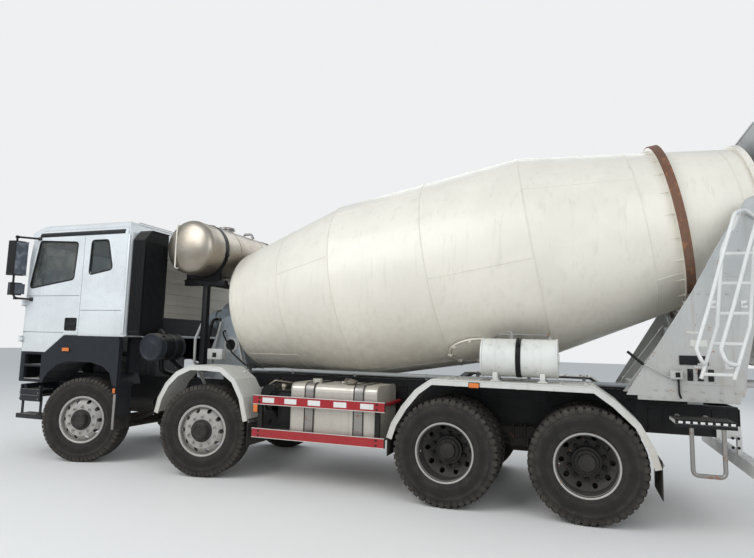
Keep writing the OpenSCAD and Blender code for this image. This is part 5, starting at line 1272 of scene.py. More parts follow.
class MIXER_OT_fuel_tank(bpy.types.Operator):
    """Straps, end welds, filler cap and sender of the fuel tank"""
    bl_idname = "mixer.fuel_tank"
    bl_label = "Fuel tank"

    def execute(self, context):
        y0, y1, z0, z1 = 0.5, 1.15, 0.55, 1.15

        def round_tank(x, out):
            """A path over the tank, down its side and back under it."""
            corners = ((y0 + 0.1, z1 + out), (y1 + out, z1 + out), (y1 + out, z0 - out), (y0 + 0.1, z0 - out))
            return [at(x, y, z) for y, z in corners]

        straps, bands = [], []
        for x in (-3.33, -3.92):
            straps += [tube(round_tank(x + dx, 0.0095), 0.006, 0.086) for dx in (-0.055, 0.055)]
            outer, inner = (rounded(round_tank(x - 0.052, out), 0.078 + out) for out in (0.0085, 0.0015))
            bands.append(panel([*outer, *reversed(inner)], (0.104, 0, 0), 0))
        fit("tank_straps", straps, "hub_black")
        fit("tank_bands", bands, "worn_steel")
        welds = []
        for x in (-3.1035, -4.1265):
            corners = [at(x, y0 - 0.001, 0.85), at(x, y0 - 0.001, z1 + 0.001), at(x, y1 + 0.001, z1 + 0.001),
                       at(x, y1 + 0.001, z0 - 0.001), at(x, y0 - 0.001, z0 - 0.001), at(x, y0 - 0.001, 0.85)]
            welds.append(tube(corners, 0.005, 0.08))
        welds += [block(-3.102, 0.6, z - 0.015, -3.097, 1.05, z + 0.015, 0.003, 1) for z in (0.72, 0.98)]
        fit("tank_welds", welds, "tank_alloy")
        cap = [lathe([(0, 0.058), (0.03, 0.058), (0.036, 0.05), (0.06, 0.048), (0.066, 0.042), (0.066, 0.012),
                      (0.06, 0.008), (0.054, 0)],
                     at(-3.77, 1, 1.152), Z, 40),
               wreath(slab((0.058, -0.006, 0.016), (0.07, 0.006, 0.04), 0.002, 1), 12)]
        cap[1].data.transform(Matrix.Translation(at(-3.77, 1, 1.152)))
        cap += [lathe([(0, 0.024), (0.038, 0.024), (0.042, 0.018), (0.042, -0.002)], at(-3.62, 0.86, 1.15), Z,
                      32),
                tube([at(-3.62, 0.86, 1.165), at(-3.62, 0.8, 1.2), at(-3.6, 0.6, 1.19),
                      at(-3.56, 0.455, 1.06)],
                     0.009, 0.06),
                tube([at(-2.7, 0.98, 0.96), at(-2.71, 0.99, 1.1), at(-2.8, 0.99, 1.155), at(-2.95, 0.9, 1.13),
                      at(-3.06, 0.7, 1.1)],
                     0.01, 0.05),
                lathe([(0, 0.066), (0.026, 0.066), (0.032, 0.058), (0.034, 0.03), (0.026, 0.024), (0.026, 0)],
                      at(-2.93, 1.02, 1.056), Z, 28)]
        fit("tank_cap", cap, "stainless")
        return {"FINISHED"}


def leaf(y, x0, z_end, z_mid, long, thick, wide):
    """One leaf of a spring: a sagging strip across X."""
    n = 14
    low = [at(x0 + long * (2 * i / n - 1), y - wide / 2, z_mid + (z_end - z_mid) * (2 * i / n - 1) ** 2)
           for i in range(n + 1)]
    high = [p + Z * thick for p in low]
    return panel(low + high[::-1], (0, wide, 0), 0.002, 1)


class MIXER_OT_springs(bpy.types.Operator):
    """Spring leaves, clamps, dampers and brake chambers"""
    bl_idname = "mixer.springs"
    bl_label = "Springs and axles"

    def execute(self, context):
        leaves, clamps, dampers = [], [], []
        for x in (0, -1.9):
            for k in range(5):
                long = 0.74 - 0.13 * k
                leaves.append(leaf(0.385, x, 0.674 - 0.05 * k, 0.505 - 0.019 * k, long, 0.0165, 0.096))
            for dx in (-0.05, 0.05):
                clamps += [tube([at(x + dx, 0.33, 0.395), at(x + dx, 0.33, 0.545), at(x + dx, 0.44, 0.545),
                                 at(x + dx, 0.44, 0.395)],
                                0.01, 0.02),
                           *[rod(at(x + dx, y, 0.388), at(x + dx, y, 0.404), 0.018, 6) for y in (0.33, 0.44)]]
            dampers += [rod(at(x + 0.12, 0.5, 0.4), at(x + 0.2, 0.5, 0.7), 0.032, 24, 0.004),
                        rod(at(x + 0.18, 0.5, 0.62), at(x + 0.235, 0.5, 0.84), 0.04, 24, 0.004),
                        rod(at(x + 0.12, 0.44, 0.4), at(x + 0.12, 0.54, 0.4), 0.028, 20, 0.003),
                        rod(at(x + 0.235, 0.425, 0.84), at(x + 0.235, 0.545, 0.84), 0.028, 20, 0.003)]
        for k in range(7):
            long = 0.7 - 0.075 * k
            leaves.append(leaf(0.5, -5.555, 0.64 + 0.012 * k, 0.745 - 0.0165 * k, long, 0.015, 0.098))
        clamps += [tube([at(-5.555 + dx, 0.44, 0.6), at(-5.555 + dx, 0.44, 0.775),
                         at(-5.555 + dx, 0.56, 0.775), at(-5.555 + dx, 0.56, 0.6)],
                        0.012, 0.02)
                   for dx in (-0.062, 0.062)]
        pair("spring_leaves", leaves, "iron")
        pair("spring_clamps", clamps, "iron")
        pair("dampers", dampers, "black_paint")
        pots = []
        for x in (-4.88, -6.23):
            c = at(x + 0.21, 0.5, 0.66)
            pots += [lathe([(0, -0.1), (0.055, -0.095), (0.08, -0.07), (0.084, -0.01), (0.09, -0.006),
                            (0.09, 0.006), (0.084, 0.01), (0.082, 0.09), (0.06, 0.115), (0, 0.12)],
                           c, Vector((0.93, 0, 0.36)), 32),
                     rod(c - Vector((0.93, 0, 0.36)) * 0.1, at(x + 0.05, 0.5, 0.6), 0.012, 12),
                     block(x + 0.04, 0.44, 0.575, x + 0.22, 0.47, 0.63, 0.005)]
        pair("brake_chambers", pots, "black_paint")
        flanges = []
        for x, s in ((-4.655, 1), (-5.105, -1), (-6.005, 1)):
            flanges += [rod(at(x, 0, 0.538), at(x + 0.03 * s, 0, 0.538), 0.085, 32, 0.003),
                        bolts([at(x + 0.03 * s, 0.066 * math.cos(a), 0.538 + 0.066 * math.sin(a))
                               for a in angles(0, 315, 8)],
                              X * s, 0.008, 0.006)]
        for x in (-4.88, -6.23):
            flanges += [hoop(at(x, 0, 0.538), Y, 0.215, 0.018, 48, 8),
                        rod(at(x, 0, 0.31), at(x, 0, 0.3), 0.03, 24, 0.002)]
        fit("shaft_flanges", flanges, "iron")
        return {"FINISHED"}


class MIXER_OT_frame(bpy.types.Operator):
    """Bolts, clips, pipes and hoses along the frame and the subframe, and a sheet of painted shade on the
    subframe's web
    """
    bl_idname = "mixer.frame"
    bl_label = "Frame fittings"

    def execute(self, context):
        web = [at(x + dx, 0.4295, dz)
               for x in (0.76, -0.76, -1.14, -2.66, -1.36, -2.5, -4.3, -5.3, -5.81, -6.9, -7.48)
               for dz in (0.85, 0.93, 1.01) for dx in (-0.04, 0.04)]
        plates = [block(x - 0.07, 0.429, 0.815, x + 0.07, 0.4375, 1.045, 0.003, 1)
                  for x in (-1.36, -2.5, -4.3, -6.9, -7.48)]
        pair("rail_bolts", [bolts(web, Y, 0.01, 0.009), *plates], "black_paint")
        brackets = []
        for x in (-1.75, -2.55, -3.35, -4.2, -5.05, -5.9, -6.65):
            brackets += [
                block(x - 0.06, 0.429, 0.98, x + 0.06, 0.442, 1.15, 0.004, 1),
                block(x - 0.045, 0.429, 1.118, x + 0.045, 0.47, 1.13, 0.003, 1),
                rod(at(x, 0.457, 1.095), at(x, 0.457, 1.165), 0.009, 12),
                rod(at(x, 0.457, 1.13), at(x, 0.457, 1.143), 0.017, 6),
                bolts([at(x + d, 0.442, z) for d in (-0.035, 0.035) for z in (1, 1.05)], Y, 0.01, 0.008)]
        pair("subframe_brackets", brackets, "black_paint")
        seam = [rod(at(-7.34, 0.4302, z), at(-1.3, 0.4302, z), 0.0035, 6) for z in (1.084, 1.207)]
        pair("subframe_welds", seam, "black_paint")
        pipe = [tube([at(-2.15, 0.455, 1.235), at(-2.55, 0.478, 1.25), at(-4.3, 0.478, 1.25),
                      at(-6.9, 0.478, 1.25), at(-7.02, 0.478, 1.3), at(-7.05, 0.5, 1.52)],
                     0.024, 0.1, 4)]
        for x in (-2.75, -3.6, -4.5, -5.3, -6.1, -6.75):
            pipe += [hoop(at(x, 0.478, 1.25), X, 0.026, 0.005, 24, 6),
                     block(x - 0.015, 0.428, 1.212, x + 0.015, 0.484, 1.228, 0.002, 1)]
        fit("water_pipe", pipe, "mixer_grey")
        # A thin black sheet over the subframe's web under the water pipe: painted shade.
        web_shade = [block(-7.2, 0.429, 1.0825, -2.05, 0.4325, 1.2, 0.001, 1)]
        pair("subframe_web_shade", web_shade, "black_paint")
        lines = [tube([at(-2.05 - 0.03 * k, y, 1.3 + 0.02 * k), at(-2.4, y, 1.225),
                       at(-6.7, y, 1.225 - 0.002 * k), at(-7, y + 0.05, 1.27),
                       at(-7.1 - 0.03 * k, 0.86, 1.33)],
                      context.scene.mixer_sizes.hose * 0.7, 0.12)
                 for k, y in enumerate((0.448, 0.462, 0.476))]
        fit("control_lines", lines, "rubber")
        gear = []
        for z in (0.69, 0.985):
            gear += [*[hoop(at(-2.745, y, z), Y, 0.118, 0.005, 48, 6) for y in (0.461, 1.018)],
                     *[collar(0.1195, 0.1235, -0.018, 0.018, at(-2.745, y, z), Y, 48) for y in (0.6, 0.88)],
                     rod(at(-2.745, 1.012, z), at(-2.745, 1.04, z), 0.028, 24, 0.003),
                     rod(at(-2.745, 1.036, z), at(-2.745, 1.052, z), 0.016, 6)]
        gear += [block(-3.068, 0.484, 1.035, -2.872, 1.056, 1.052, 0.006),
                 block(-3.05, 1.0495, 0.64, -2.89, 1.056, 1.02, 0.006),
                 *[rod(at(-2.97, 1.055, z), at(-2.97, 1.066, z), 0.012, 16, 0.002) for z in (0.7, 0.96)],
                 tube([at(-2.745, 1.046, 0.985), at(-2.8, 1.075, 1.02), at(-2.82, 1.05, 1.1),
                       at(-2.8, 0.8, 1.16), at(-2.7, 0.46, 1.02)],
                      0.008, 0.06)]
        fit("air_tank_fittings", gear, "black_paint")
        right = [*[hoop(at(x, -0.78, 0.85), X, 0.255, 0.007, 64, 6) for x in (-3.885, -2.915)],
                 *[collar(0.2595, 0.264, -0.025, 0.025, at(x, -0.78, 0.85), X, 64) for x in (-3.7, -3.1)],
                 wreath(rod((0.225, 0, 0), (0.225, 0, 0.012), 0.008, 6), 16)]
        end = Matrix.Translation(at(-2.905, -0.78, 0.85))
        right[-1].data.transform(end @ Matrix.Rotation(math.radians(90), 4, "Y"))
        right += [hoop(at(-4.11, y, z), Y, 0.113, 0.005, 48, 6) for z in (0.7, 0.985)
                  for y in (-0.461, -1.018)]
        fit("silencer_bands", right, "engine_iron")
        engine = []
        for x in (0.62, 0.42, 0.22, 0.02, -0.18, -0.38):
            engine += [block(x - 0.04, -0.315, 1.05, x + 0.04, 0.315, 1.28, 0.01, 1),
                       block(x - 0.055, -0.2, 1.325, x + 0.055, 0.2, 1.352, 0.01)]
        engine += [block(-0.44, -0.29, 0.552, 0.69, 0.29, 0.575, 0.01),
                   bolts(grid((-0.4, -0.2, 0, 0.2, 0.4, 0.6), 0.3095, 0.6), Y, 0.009, 0.007)]
        fins = row(block(0.888, -0.42, 1.1, 0.892, 0.42, 1.105, 0, 1), 22, (0, 0, 0.012))
        fit("engine_ribs", [engine, fins], "engine_iron")
        return {"FINISHED"}


class MIXER_OT_fenders(bpy.types.Operator):
    """Rolled edges, bolts and rubber flaps of the fenders"""
    bl_idname = "mixer.fenders"
    bl_label = "Fenders"

    def execute(self, context):
        two = [(-1.285, 0.72), (-1.33, 0.9), (-1.43, 1.075), (-1.57, 1.21), (-1.76, 1.296), (-1.98, 1.3),
               (-2.21, 1.288), (-2.4, 1.16), (-2.52, 0.96), (-2.59, 0.7)]
        three = [(-4.28, 0.65), (-4.33, 0.8), (-4.44, 0.98), (-4.58, 1.15), (-4.74, 1.264), (-5.18, 1.264),
                 (-5.7, 1.264), (-6.31, 1.26), (-6.5, 1.13), (-6.69, 0.947), (-6.8, 0.74), (-6.85, 0.57)]
        beads = [tube([at(x, 1.2435, z) for x, z in line], 0.007, 0.1) for line in (two, three)]
        pair("fender_beads", beads, "fender_white")
        ribs = [block(x - 0.012, 0.66, 1.2685, x + 0.012, 1.235, 1.2765, 0.003, 1)
                for x in (-4.9, -5.22, -6, -6.23)]
        heads = bolts(grid((-4.94, -4.86, -5.52, -5.6, -6.27, -6.19), (0.7, 0.95), 1.2695), Z, 0.01, 0.007)
        lip = bolts(grid((-4.8, -5.3, -5.56, -5.95, -6.12), 1.245, 1.222), Y, 0.008, 0.005)
        pair("fender_bolts", [ribs, heads, lip], "fender_white")
        flap = [block(-6.862, 0.66, 0.3, -6.852, 1.235, 0.64, 0.003),
                block(-4.288, 0.66, 0.46, -4.278, 1.235, 0.68, 0.003),
                block(-2.602, 0.82, 0.42, -2.592, 1.235, 0.72, 0.003)]
        hold = [block(-6.87, 0.66, 0.588, -6.86, 1.235, 0.618, 0.002, 1),
                block(-2.61, 0.82, 0.678, -2.6, 1.235, 0.708, 0.002, 1)]
        pair("fender_flaps", flap, "rubber")
        holders = [*hold, bolts(grid(-6.87, (0.72, 0.86, 1, 1.14, 1.2), 0.603), -X, 0.008, 0.006),
                   bolts(grid(-2.61, (0.88, 1.02, 1.16), 0.693), -X, 0.008, 0.006)]
        pair("flap_holders", holders, "worn_steel")
        return {"FINISHED"}


# Mixer gear

class MIXER_OT_front_stand(bpy.types.Operator):
    """Plates, bolts, hoses and cooler of the drum's front stand and drive"""
    bl_idname = "mixer.front_stand"
    bl_label = "Front stand"

    def execute(self, context):
        hose = context.scene.mixer_sizes.hose
        parts = [lathe([(0.075, -0.004), (0.075, 0.006), (0.11, 0.006), (0.11, -0.004), (0.075, -0.004)],
                       at(-1.72, 0.352, 1.55), Y, 48),
                 block(-2.03, 0.348, 1.205, -1.37, 0.358, 1.235, 0.003, 1),
                 *[panel([at(x, 0.352, z) for x, z in brace], (0, 0.05, 0), 0.003)
                   for brace in (((-1.45, 1.3), (-1.43, 1.3), (-1.56, 1.86), (-1.585, 1.86)),
                                 ((-1.96, 1.3), (-1.94, 1.3), (-1.78, 1.84), (-1.8, 1.84)))],
                 bolts(grid((-1.98, -1.88, -1.52, -1.42), 0.38, 1.192), Z, 0.012, 0.01)]
        pair("front_stand_plates", parts, "pedestal_grey")
        dark = [rod(at(-1.72, 0.3505, 1.55), at(-1.72, 0.352, 1.55), 0.074, 40)]
        pair("front_stand_holes", dark, "hub_black")
        drive = [wreath(rod((r - 0.022, 0, h), (r - 0.022, 0, h + 0.014), 0.012, 6), 16)
                 for h, r in ((-0.205, 0.262), (-0.275, 0.256))]
        drive[0].data.transform(Matrix.Translation((0, 0, 0.022)))
        drive[1].data.transform(Matrix.Translation((0, 0, -0.01)))
        drive += [hoop((0, 0, -0.32), Z, 0.243, 0.01, 64, 8),
                  rod((0.1, 0, -0.6), (0.1, 0, -0.72), 0.028, 24, 0.003),
                  *[rod((-0.02, 0.11 * s, -0.66), (-0.02, 0.16 * s, -0.66), 0.026, 24, 0.003)
                    for s in (1, -1)]]
        fit("drive_fittings", [on_drum(join(drive))], "worn_steel")
        hoses = []
        for s in (-1, 1):
            start = ON_DRUM @ Vector((-0.02, 0.16 * s, -0.66))
            hoses.append(
                tube([start, start + Vector((0, 0.1 * s, -0.02)), start + Vector((0.02, 0.16 * s, -0.3)),
                      at(-1.4, 0.26 * s, 1.3), at(-1.15, 0.24 * s, 1.12), at(-0.95, 0.2 * s, 1.02)],
                     0.02, 0.1, 4))
        hoses.append(
            tube([at(-1.62, 0.31, 1.75), at(-1.62, 0.42, 1.72), at(-1.8, 0.44, 1.45), at(-2.02, 0.46, 1.3),
                  at(-2.2, 0.47, 1.26)],
                 hose, 0.1))
        fit("drive_hoses", hoses, "rubber")
        cooler = [block(-1.7, -0.3, 1.86, -1.56, 0.05, 1.885, 0.004),
                  block(-1.8, 0.56, 1.355, -1.57, 0.66, 1.495, 0.01),
                  block(-1.75, 0.42, 1.343, -1.62, 0.6, 1.357, 0.004),
                  tube([at(-1.46, 0.61, 1.9), at(-1.35, 0.63, 1.62), at(-1.33, 0.6, 1.3),
                        at(-1.34, 0.4, 1.24)],
                       0.018, 0.05)]
        fit("control_box", cooler, "pedestal_grey")
        fit("control_box_face", [block(-1.715, 0.657, 1.385, -1.655, 0.664, 1.445, 0.003)],
            "hub_black")
        posts = [block(-1.555, 0.595, 2.318, -1.445, 0.705, 2.332, 0.003),
                 block(-1.56, 0.59, 1.198, -1.44, 0.71, 1.212, 0.003),
                 bolts([at(-1.5 + a, 0.65 + b, 1.212) for a in (-0.047, 0.047) for b in (-0.047, 0.047)], Z,
                       0.01, 0.008),
                 block(-1.537, 0.613, 1.213, -1.463, 0.687, 2.317, 0.004),
                 block(-1.8025, 0.6075, 2.3275, -1.1675, 0.6925, 2.3922, 0.003),
                 block(-1.5425, 0, 2.3325, -1.4575, 0.612, 2.3875, 0.002, 1)]
        pair("tank_posts", posts, "black_paint")
        return {"FINISHED"}


class MIXER_OT_rear_frame(bpy.types.Operator):
    """Plates, bolts, levers, boxes and hoses of the rear pedestal, and the rollers' bearings"""
    bl_idname = "mixer.rear_frame"
    bl_label = "Rear pedestal"

    def execute(self, context):
        hose = context.scene.mixer_sizes.hose
        y = 0.945
        edge = [(-6.62, 1.215), (-7.205, 2.188), (-7.425, 2.618), (-7.672, 3.046), (-7.855, 3.112),
                (-7.892, 2.98), (-7.755, 2.5), (-7.693, 1.9), (-7.612, 1.5), (-7.575, 1.215)]
        rows = ((1.25, (-6.85, -6.95, -7.1, -7.25, -7.4, -7.52)), (2.16, (-7.24, -7.32, -7.48, -7.58)),
                (2.56, (-7.46, -7.6)), (2.9, (-7.66, -7.78)))
        rim = [tube([at(x, y - 0.008, z) for x, z in edge], 0.01, 0.06),
               bolts([at(x, y - 0.001, z) for z, xs in rows for x in xs], Y, 0.011, 0.008),
               block(-7.62, y - 0.003, 2.32, -7.36, y + 0.003, 2.36, 0.002, 1)]
        pair("pedestal_edges", rim, "pedestal_grey")
        cover = [(-6.95, 1.31), (-7.31, 2.08), (-7.58, 2.08), (-7.5, 1.31)]
        plates = [*both(panel([at(a, y - 0.0005, b) for a, b in cover], (0, 0.004, 0), 0.001, 1)),
                  *both(block(-7.55, 0.895, 1.15, -6.7, y - 0.001, 1.2148, 0.004)),
                  *both(bolts(grid((-6.8, -6.92, -7.04, -7.16, -7.28, -7.4), y - 0.001, 1.183), Y, 0.011,
                              0.008))]
        fit("pedestal_plates", plates, "pedestal_grey")
        fit("blank_labels",
            [block(-7.3, y + 0.003, 1.665, -7.16, y + 0.0052, 1.725, 0, 1),
             block(-7.27, y + 0.003, 1.785, -7.13, y + 0.0052, 1.805, 0, 1)],
            "blank_plate")
        boxes = [block(-7.082, y - 0.001, 1.356, -6.977, y + 0.055, 1.437, 0.006)]
        fit("control_boxes", boxes, "pedestal_grey")
        # The first block is a black sheet standing for the dark inside a slot in the plate: painted shade.
        levers_and_slot_shade = [block(-7.303, y + 0.003, 1.492, -7.061, y + 0.016, 1.578, 0.006),
                  block(-7.06, y + 0.054, 1.375, -7.02, y + 0.058, 1.42, 0.002, 1),
                  rod(at(-6.755, 0.985, 1.482), at(-6.613, 0.985, 1.603), 0.013, 16, 0.003)]
        for x in (-7.15, -7.235, -7.32):
            levers_and_slot_shade += [block(x - 0.024, y + 0.003, 1.345, x + 0.024, y + 0.01, 1.455, 0.008),
                       rod(at(x, y + 0.008, 1.385), at(x + 0.01, y + 0.075, 1.43), 0.006, 12),
                       ball(at(x + 0.01, y + 0.078, 1.432), 0.016, 16)]
        fit("levers_and_slot_shade", levers_and_slot_shade, "hub_black")
        fit("lever_rod", [rod(at(-6.98, 0.975, 1.37), at(-6.74, 0.985, 1.495), 0.007, 12)],
            "pedestal_grey")
        hoses = [tube([at(-7.05, 0.96, 1.36), at(-7.05, 0.965, 1.22), at(-7.1, 0.9, 1.12),
                       at(-6.95, 0.6, 1.13)],
                      hose * 0.8, 0.08),
                 tube([at(-7.05, 0.5, 1.52), at(-7.12, 0.62, 1.6), at(-7.3, 0.8, 1.66), at(-7.5, 0.8, 2.2),
                       at(-7.72, 0.75, 2.9), at(-7.98, 0.6, 3.15), at(-8.05, 0.35, 3.33)],
                      0.015, 0.12)]
        fit("rear_hoses", hoses, "rubber")
        bearings = []
        across = Vector((math.cos(TILT), 0, -math.sin(TILT)))
        for side in (-1, 1):
            middle = Vector(JOINTS["roller_left_spin" if side > 0 else "roller_right_spin"]["pos_m"])
            for s in (-1, 1):
                c = middle - across * s * 0.112
                bearings.append(
                    lathe([(0, 0.012), (0.02, 0.012), (0.024, 0), (0.055, 0), (0.058, -0.004),
                           (0.058, -0.012)],
                          c, -across * s, 32))
                for b in angles(45, 315, 4):
                    u = Vector((math.sin(TILT), 0, math.cos(TILT)))
                    p = c + u * 0.044 * math.cos(b) + Y * 0.044 * math.sin(b)
                    bearings.append(rod(p - across * s * 0.001, p - across * s * 0.008, 0.006, 6))
        fit("roller_bearings", bearings, "worn_steel")
        bar = [block(-7.715, -1.19, 0.53, -7.698, 1.19, 0.63, 0.004),
               *both(block(-7.645, 0.36, 0.8, -7.655, 0.43, 1.06, 0.002, 1)),
               *both(bolts(grid((-7.62, -7.57), 0.4895, (0.7, 0.79)), Y, 0.01, 0.008))]
        fit("underrun_edges", bar, "black_paint")
        dashes = row(block(-7.435, 1.2395, 0.986, -7.401, 1.242, 1.005, 0, 1), 8, (0.058, 0, 0))
        fit("step_dashes", [dashes], "reflector_white")
        dark = [block(-7.4505, 0.8995, 1.0095, -6.9695, 1.2395, 1.012, 0, 1),
                block(-7.452, 1.205, 0.95, -6.968, 1.2398, 0.981, 0.003),
                block(-7.4505, 1.239, 0.981, -6.9695, 1.241, 1.0105, 0, 1)]
        fit("step_tread", [*tread_plate(at(-7.445, 0.905, 0.987), at(-6.975, 1.236, 1.012), 14), dark],
            "black_paint")
        stirrup = tube(
            [at(-7.1, 1.215, 0.955), at(-7.1, 1.225, 0.545), at(-7.35, 1.225, 0.545),
             at(-7.35, 1.215, 0.955)],
            0.0188, 0.05)
        fit("step_stirrup", [stirrup], "worn_steel")
        return {"FINISHED"}


class MIXER_OT_ladder(bpy.types.Operator):
    """Handrail loops, grips and clamps of the ladder"""
    bl_idname = "mixer.ladder"
    bl_label = "Ladder"

    def execute(self, context):
        parts = []
        stile = [(-7.185, 1.262, 1.39), (-7.34, 1.18, 1.85), (-7.41, 1.15, 2.54), (-7.52, 1.1, 2.8)]
        for dx in (0, -0.25):
            tops = [at(x + dx, y, z) for x, y, z in stile]
            parts += [rod(tops[0], tops[0] - (tops[1] - tops[0]).normalized() * 0.01, 0.018, 20, 0.004),
                      tube([tops[3] - (tops[3] - tops[2]).normalized() * 0.01,
                            tops[3] + Vector((-0.05, -0.02, 0.11)), tops[3] + Vector((-0.13, -0.1, 0.13)),
                            at(-7.74 + dx * 0.3, 0.955, 2.86)],
                           0.0155, 0.05, 4),
                      *[block(x0 + dx, 0.9445, z - 0.035, x1 + dx, 0.953, z + 0.035, 0.003, 1)
                        for z, x0, x1 in ((1.5, -7.255, -7.185), (2.06, -7.385, -7.335))]]
        parts += [block(x - 0.235, y - 0.016, z + 0.004, x - 0.015, y + 0.016, z + 0.016, 0.004)
                  for z, x, y in (
                      (1.42, -7.195, 1.2567), (1.69, -7.286, 1.2085), (1.96, -7.351, 1.1752),
                      (2.23, -7.3785, 1.1635), (2.5, -7.406, 1.1517))]
        for dx, foot in ((0, at(-7.226, 1.24, 1.51)), (-0.187, at(-7.476, 1.24, 1.51))):
            loop = [(-7.185, 1.325, 1.525), (-7.14, 1.335, 1.64), (-7.259, 1.325, 2.036),
                    (-7.389, 1.3, 2.504), (-7.5, 1.255, 2.86), (-7.565, 1.16, 2.88)]
            parts.append(
                tube([foot, *[at(a + dx, b, c) for a, b, c in loop], at(-7.5 + dx * 1.33, 1.118, 2.72)],
                     0.0165, 0.07, 4))
        fit("ladder_rails", parts, "ladder_white")
        return {"FINISHED"}


def rolled_edge(rear, front, side, z, r):
    """A rolled edge round a level opening."""
    corners = [(rear, 0), (rear, side), (front, side), (front, -side), (rear, -side), (rear, 0)]
    return tube([at(x, y, z) for x, y in corners], r, 0.03)


class MIXER_OT_hopper(bpy.types.Operator):
    """Rolled edges, ribs and rubber of the hopper, the outlet and the chute"""
    bl_idname = "mixer.hopper"
    bl_label = "Hopper and chute"

    def execute(self, context):
        ribs = [[at(high, 0.555, 3.91), at(high + 0.02, 0.555, 3.91), at(low + 0.02, 0.235, 3.42),
                 at(low, 0.235, 3.42)]
                for high, low in ((-8.36, -8.255), (-8.06, -8.115))]
        parts = [rolled_edge(-8.551, -7.869, 0.551, 3.924, 0.014),
                 *[both(panel(rib, (0, 0.03, 0), 0.002, 1)) for rib in ribs],
                 *both(bolts(grid((-8.25, -8.12, -8), 0.232, 3.4125), Z, 0.01, 0.008))]
        fit("hopper_edges", parts, "hopper_grey")
        outlet = [*[tube([at(-8.495, 0, 2.7), at(-8.495, y, 2.7), at(-8.095, y, 2.7)], 0.01, 0.02)
                    for y in (0.634, -0.634)],
                  *both(panel([at(-8.3, 0.638, 2.69), at(-8.28, 0.638, 2.69), at(-8.28, 0.638, 2.57),
                               at(-8.225, 0.215, 2.02), at(-8.245, 0.215, 2.02), at(-8.3, 0.638, 2.57)],
                              (0, 0.02, 0), 0.002, 1)),
                  rolled_edge(-8.352, -8.108, 0.19, 2, 0.01)]
        fit("outlet_edges", outlet, "hopper_grey")
        skirt = [panel([at(-8.355, -0.18, 2.02), at(-8.355, 0.18, 2.02), at(-8.355, 0.17, 1.9),
                        at(-8.355, -0.17, 1.9)],
                       (0.006, 0, 0), 0.001, 1),
                 *both(panel([at(-8.34, 0.192, 2.03), at(-8.12, 0.192, 2.03), at(-8.12, 0.192, 1.91),
                              at(-8.34, 0.192, 1.91)],
                             (0, 0.005, 0), 0.001, 1))]
        fit("outlet_skirt", skirt, "rubber")
        slope = math.radians(8)
        turn = Matrix.Translation(at(-8.21, 0, 1.56)) @ Matrix.Rotation(slope, 4, "X")
        edges = [tube([Vector((s * 0.231, 0.188, 0.398)), Vector((s * 0.231, -1.178, 0.398))], 0.01, 0)
                 for s in (-1, 1)]
        for y in (0.17, -0.28, -0.72, -1.165):
            arc = [Vector((-0.2375 * math.cos(a), y, 0.305 - 0.2375 * math.sin(a)))
                   for a in angles(0, 180, 17)]
            arc = [Vector((-0.2375, y, 0.395))] + arc + [Vector((0.2375, y, 0.395))]
            edges.append(tube(arc, 0.007, 0))
        edges += [rod((x, 0, 0), (x + 0.03, 0, 0), 0.032, 24, 0.003) for x in (-0.115, 0.085)]
        for s in (-1, 1):
            grip = [Vector((s * 0.236, -0.9, 0.33)), Vector((s * 0.275, -0.9, 0.33)),
                    Vector((s * 0.275, -1.06, 0.33)), Vector((s * 0.236, -1.06, 0.33))]
            edges.append(tube(grip, 0.009, 0.02))
        piece = join(edges)
        piece.data.transform(turn)
        fit("chute_edges", [piece], "hopper_grey", "chute")
        swivel = [lathe([(0, 1.19), (0.046, 1.19), (0.05, 1.186), (0.05, 1.18), (0, 1.178)], at(-8.21, 0, 0),
                        Z, 32),
                  lathe([(0.075, 1.376), (0.083, 1.38), (0.083, 1.402), (0.07, 1.408)], at(-8.21, 0, 0), Z,
                        40)]
        fit("swivel_rings", swivel, "worn_steel", "chute_swivel")
        return {"FINISHED"}


# Stage

SKY_LIGHT, BACKDROP = (0.86, 0.93, 1, 1), (0.86, 0.87, 0.88, 1)


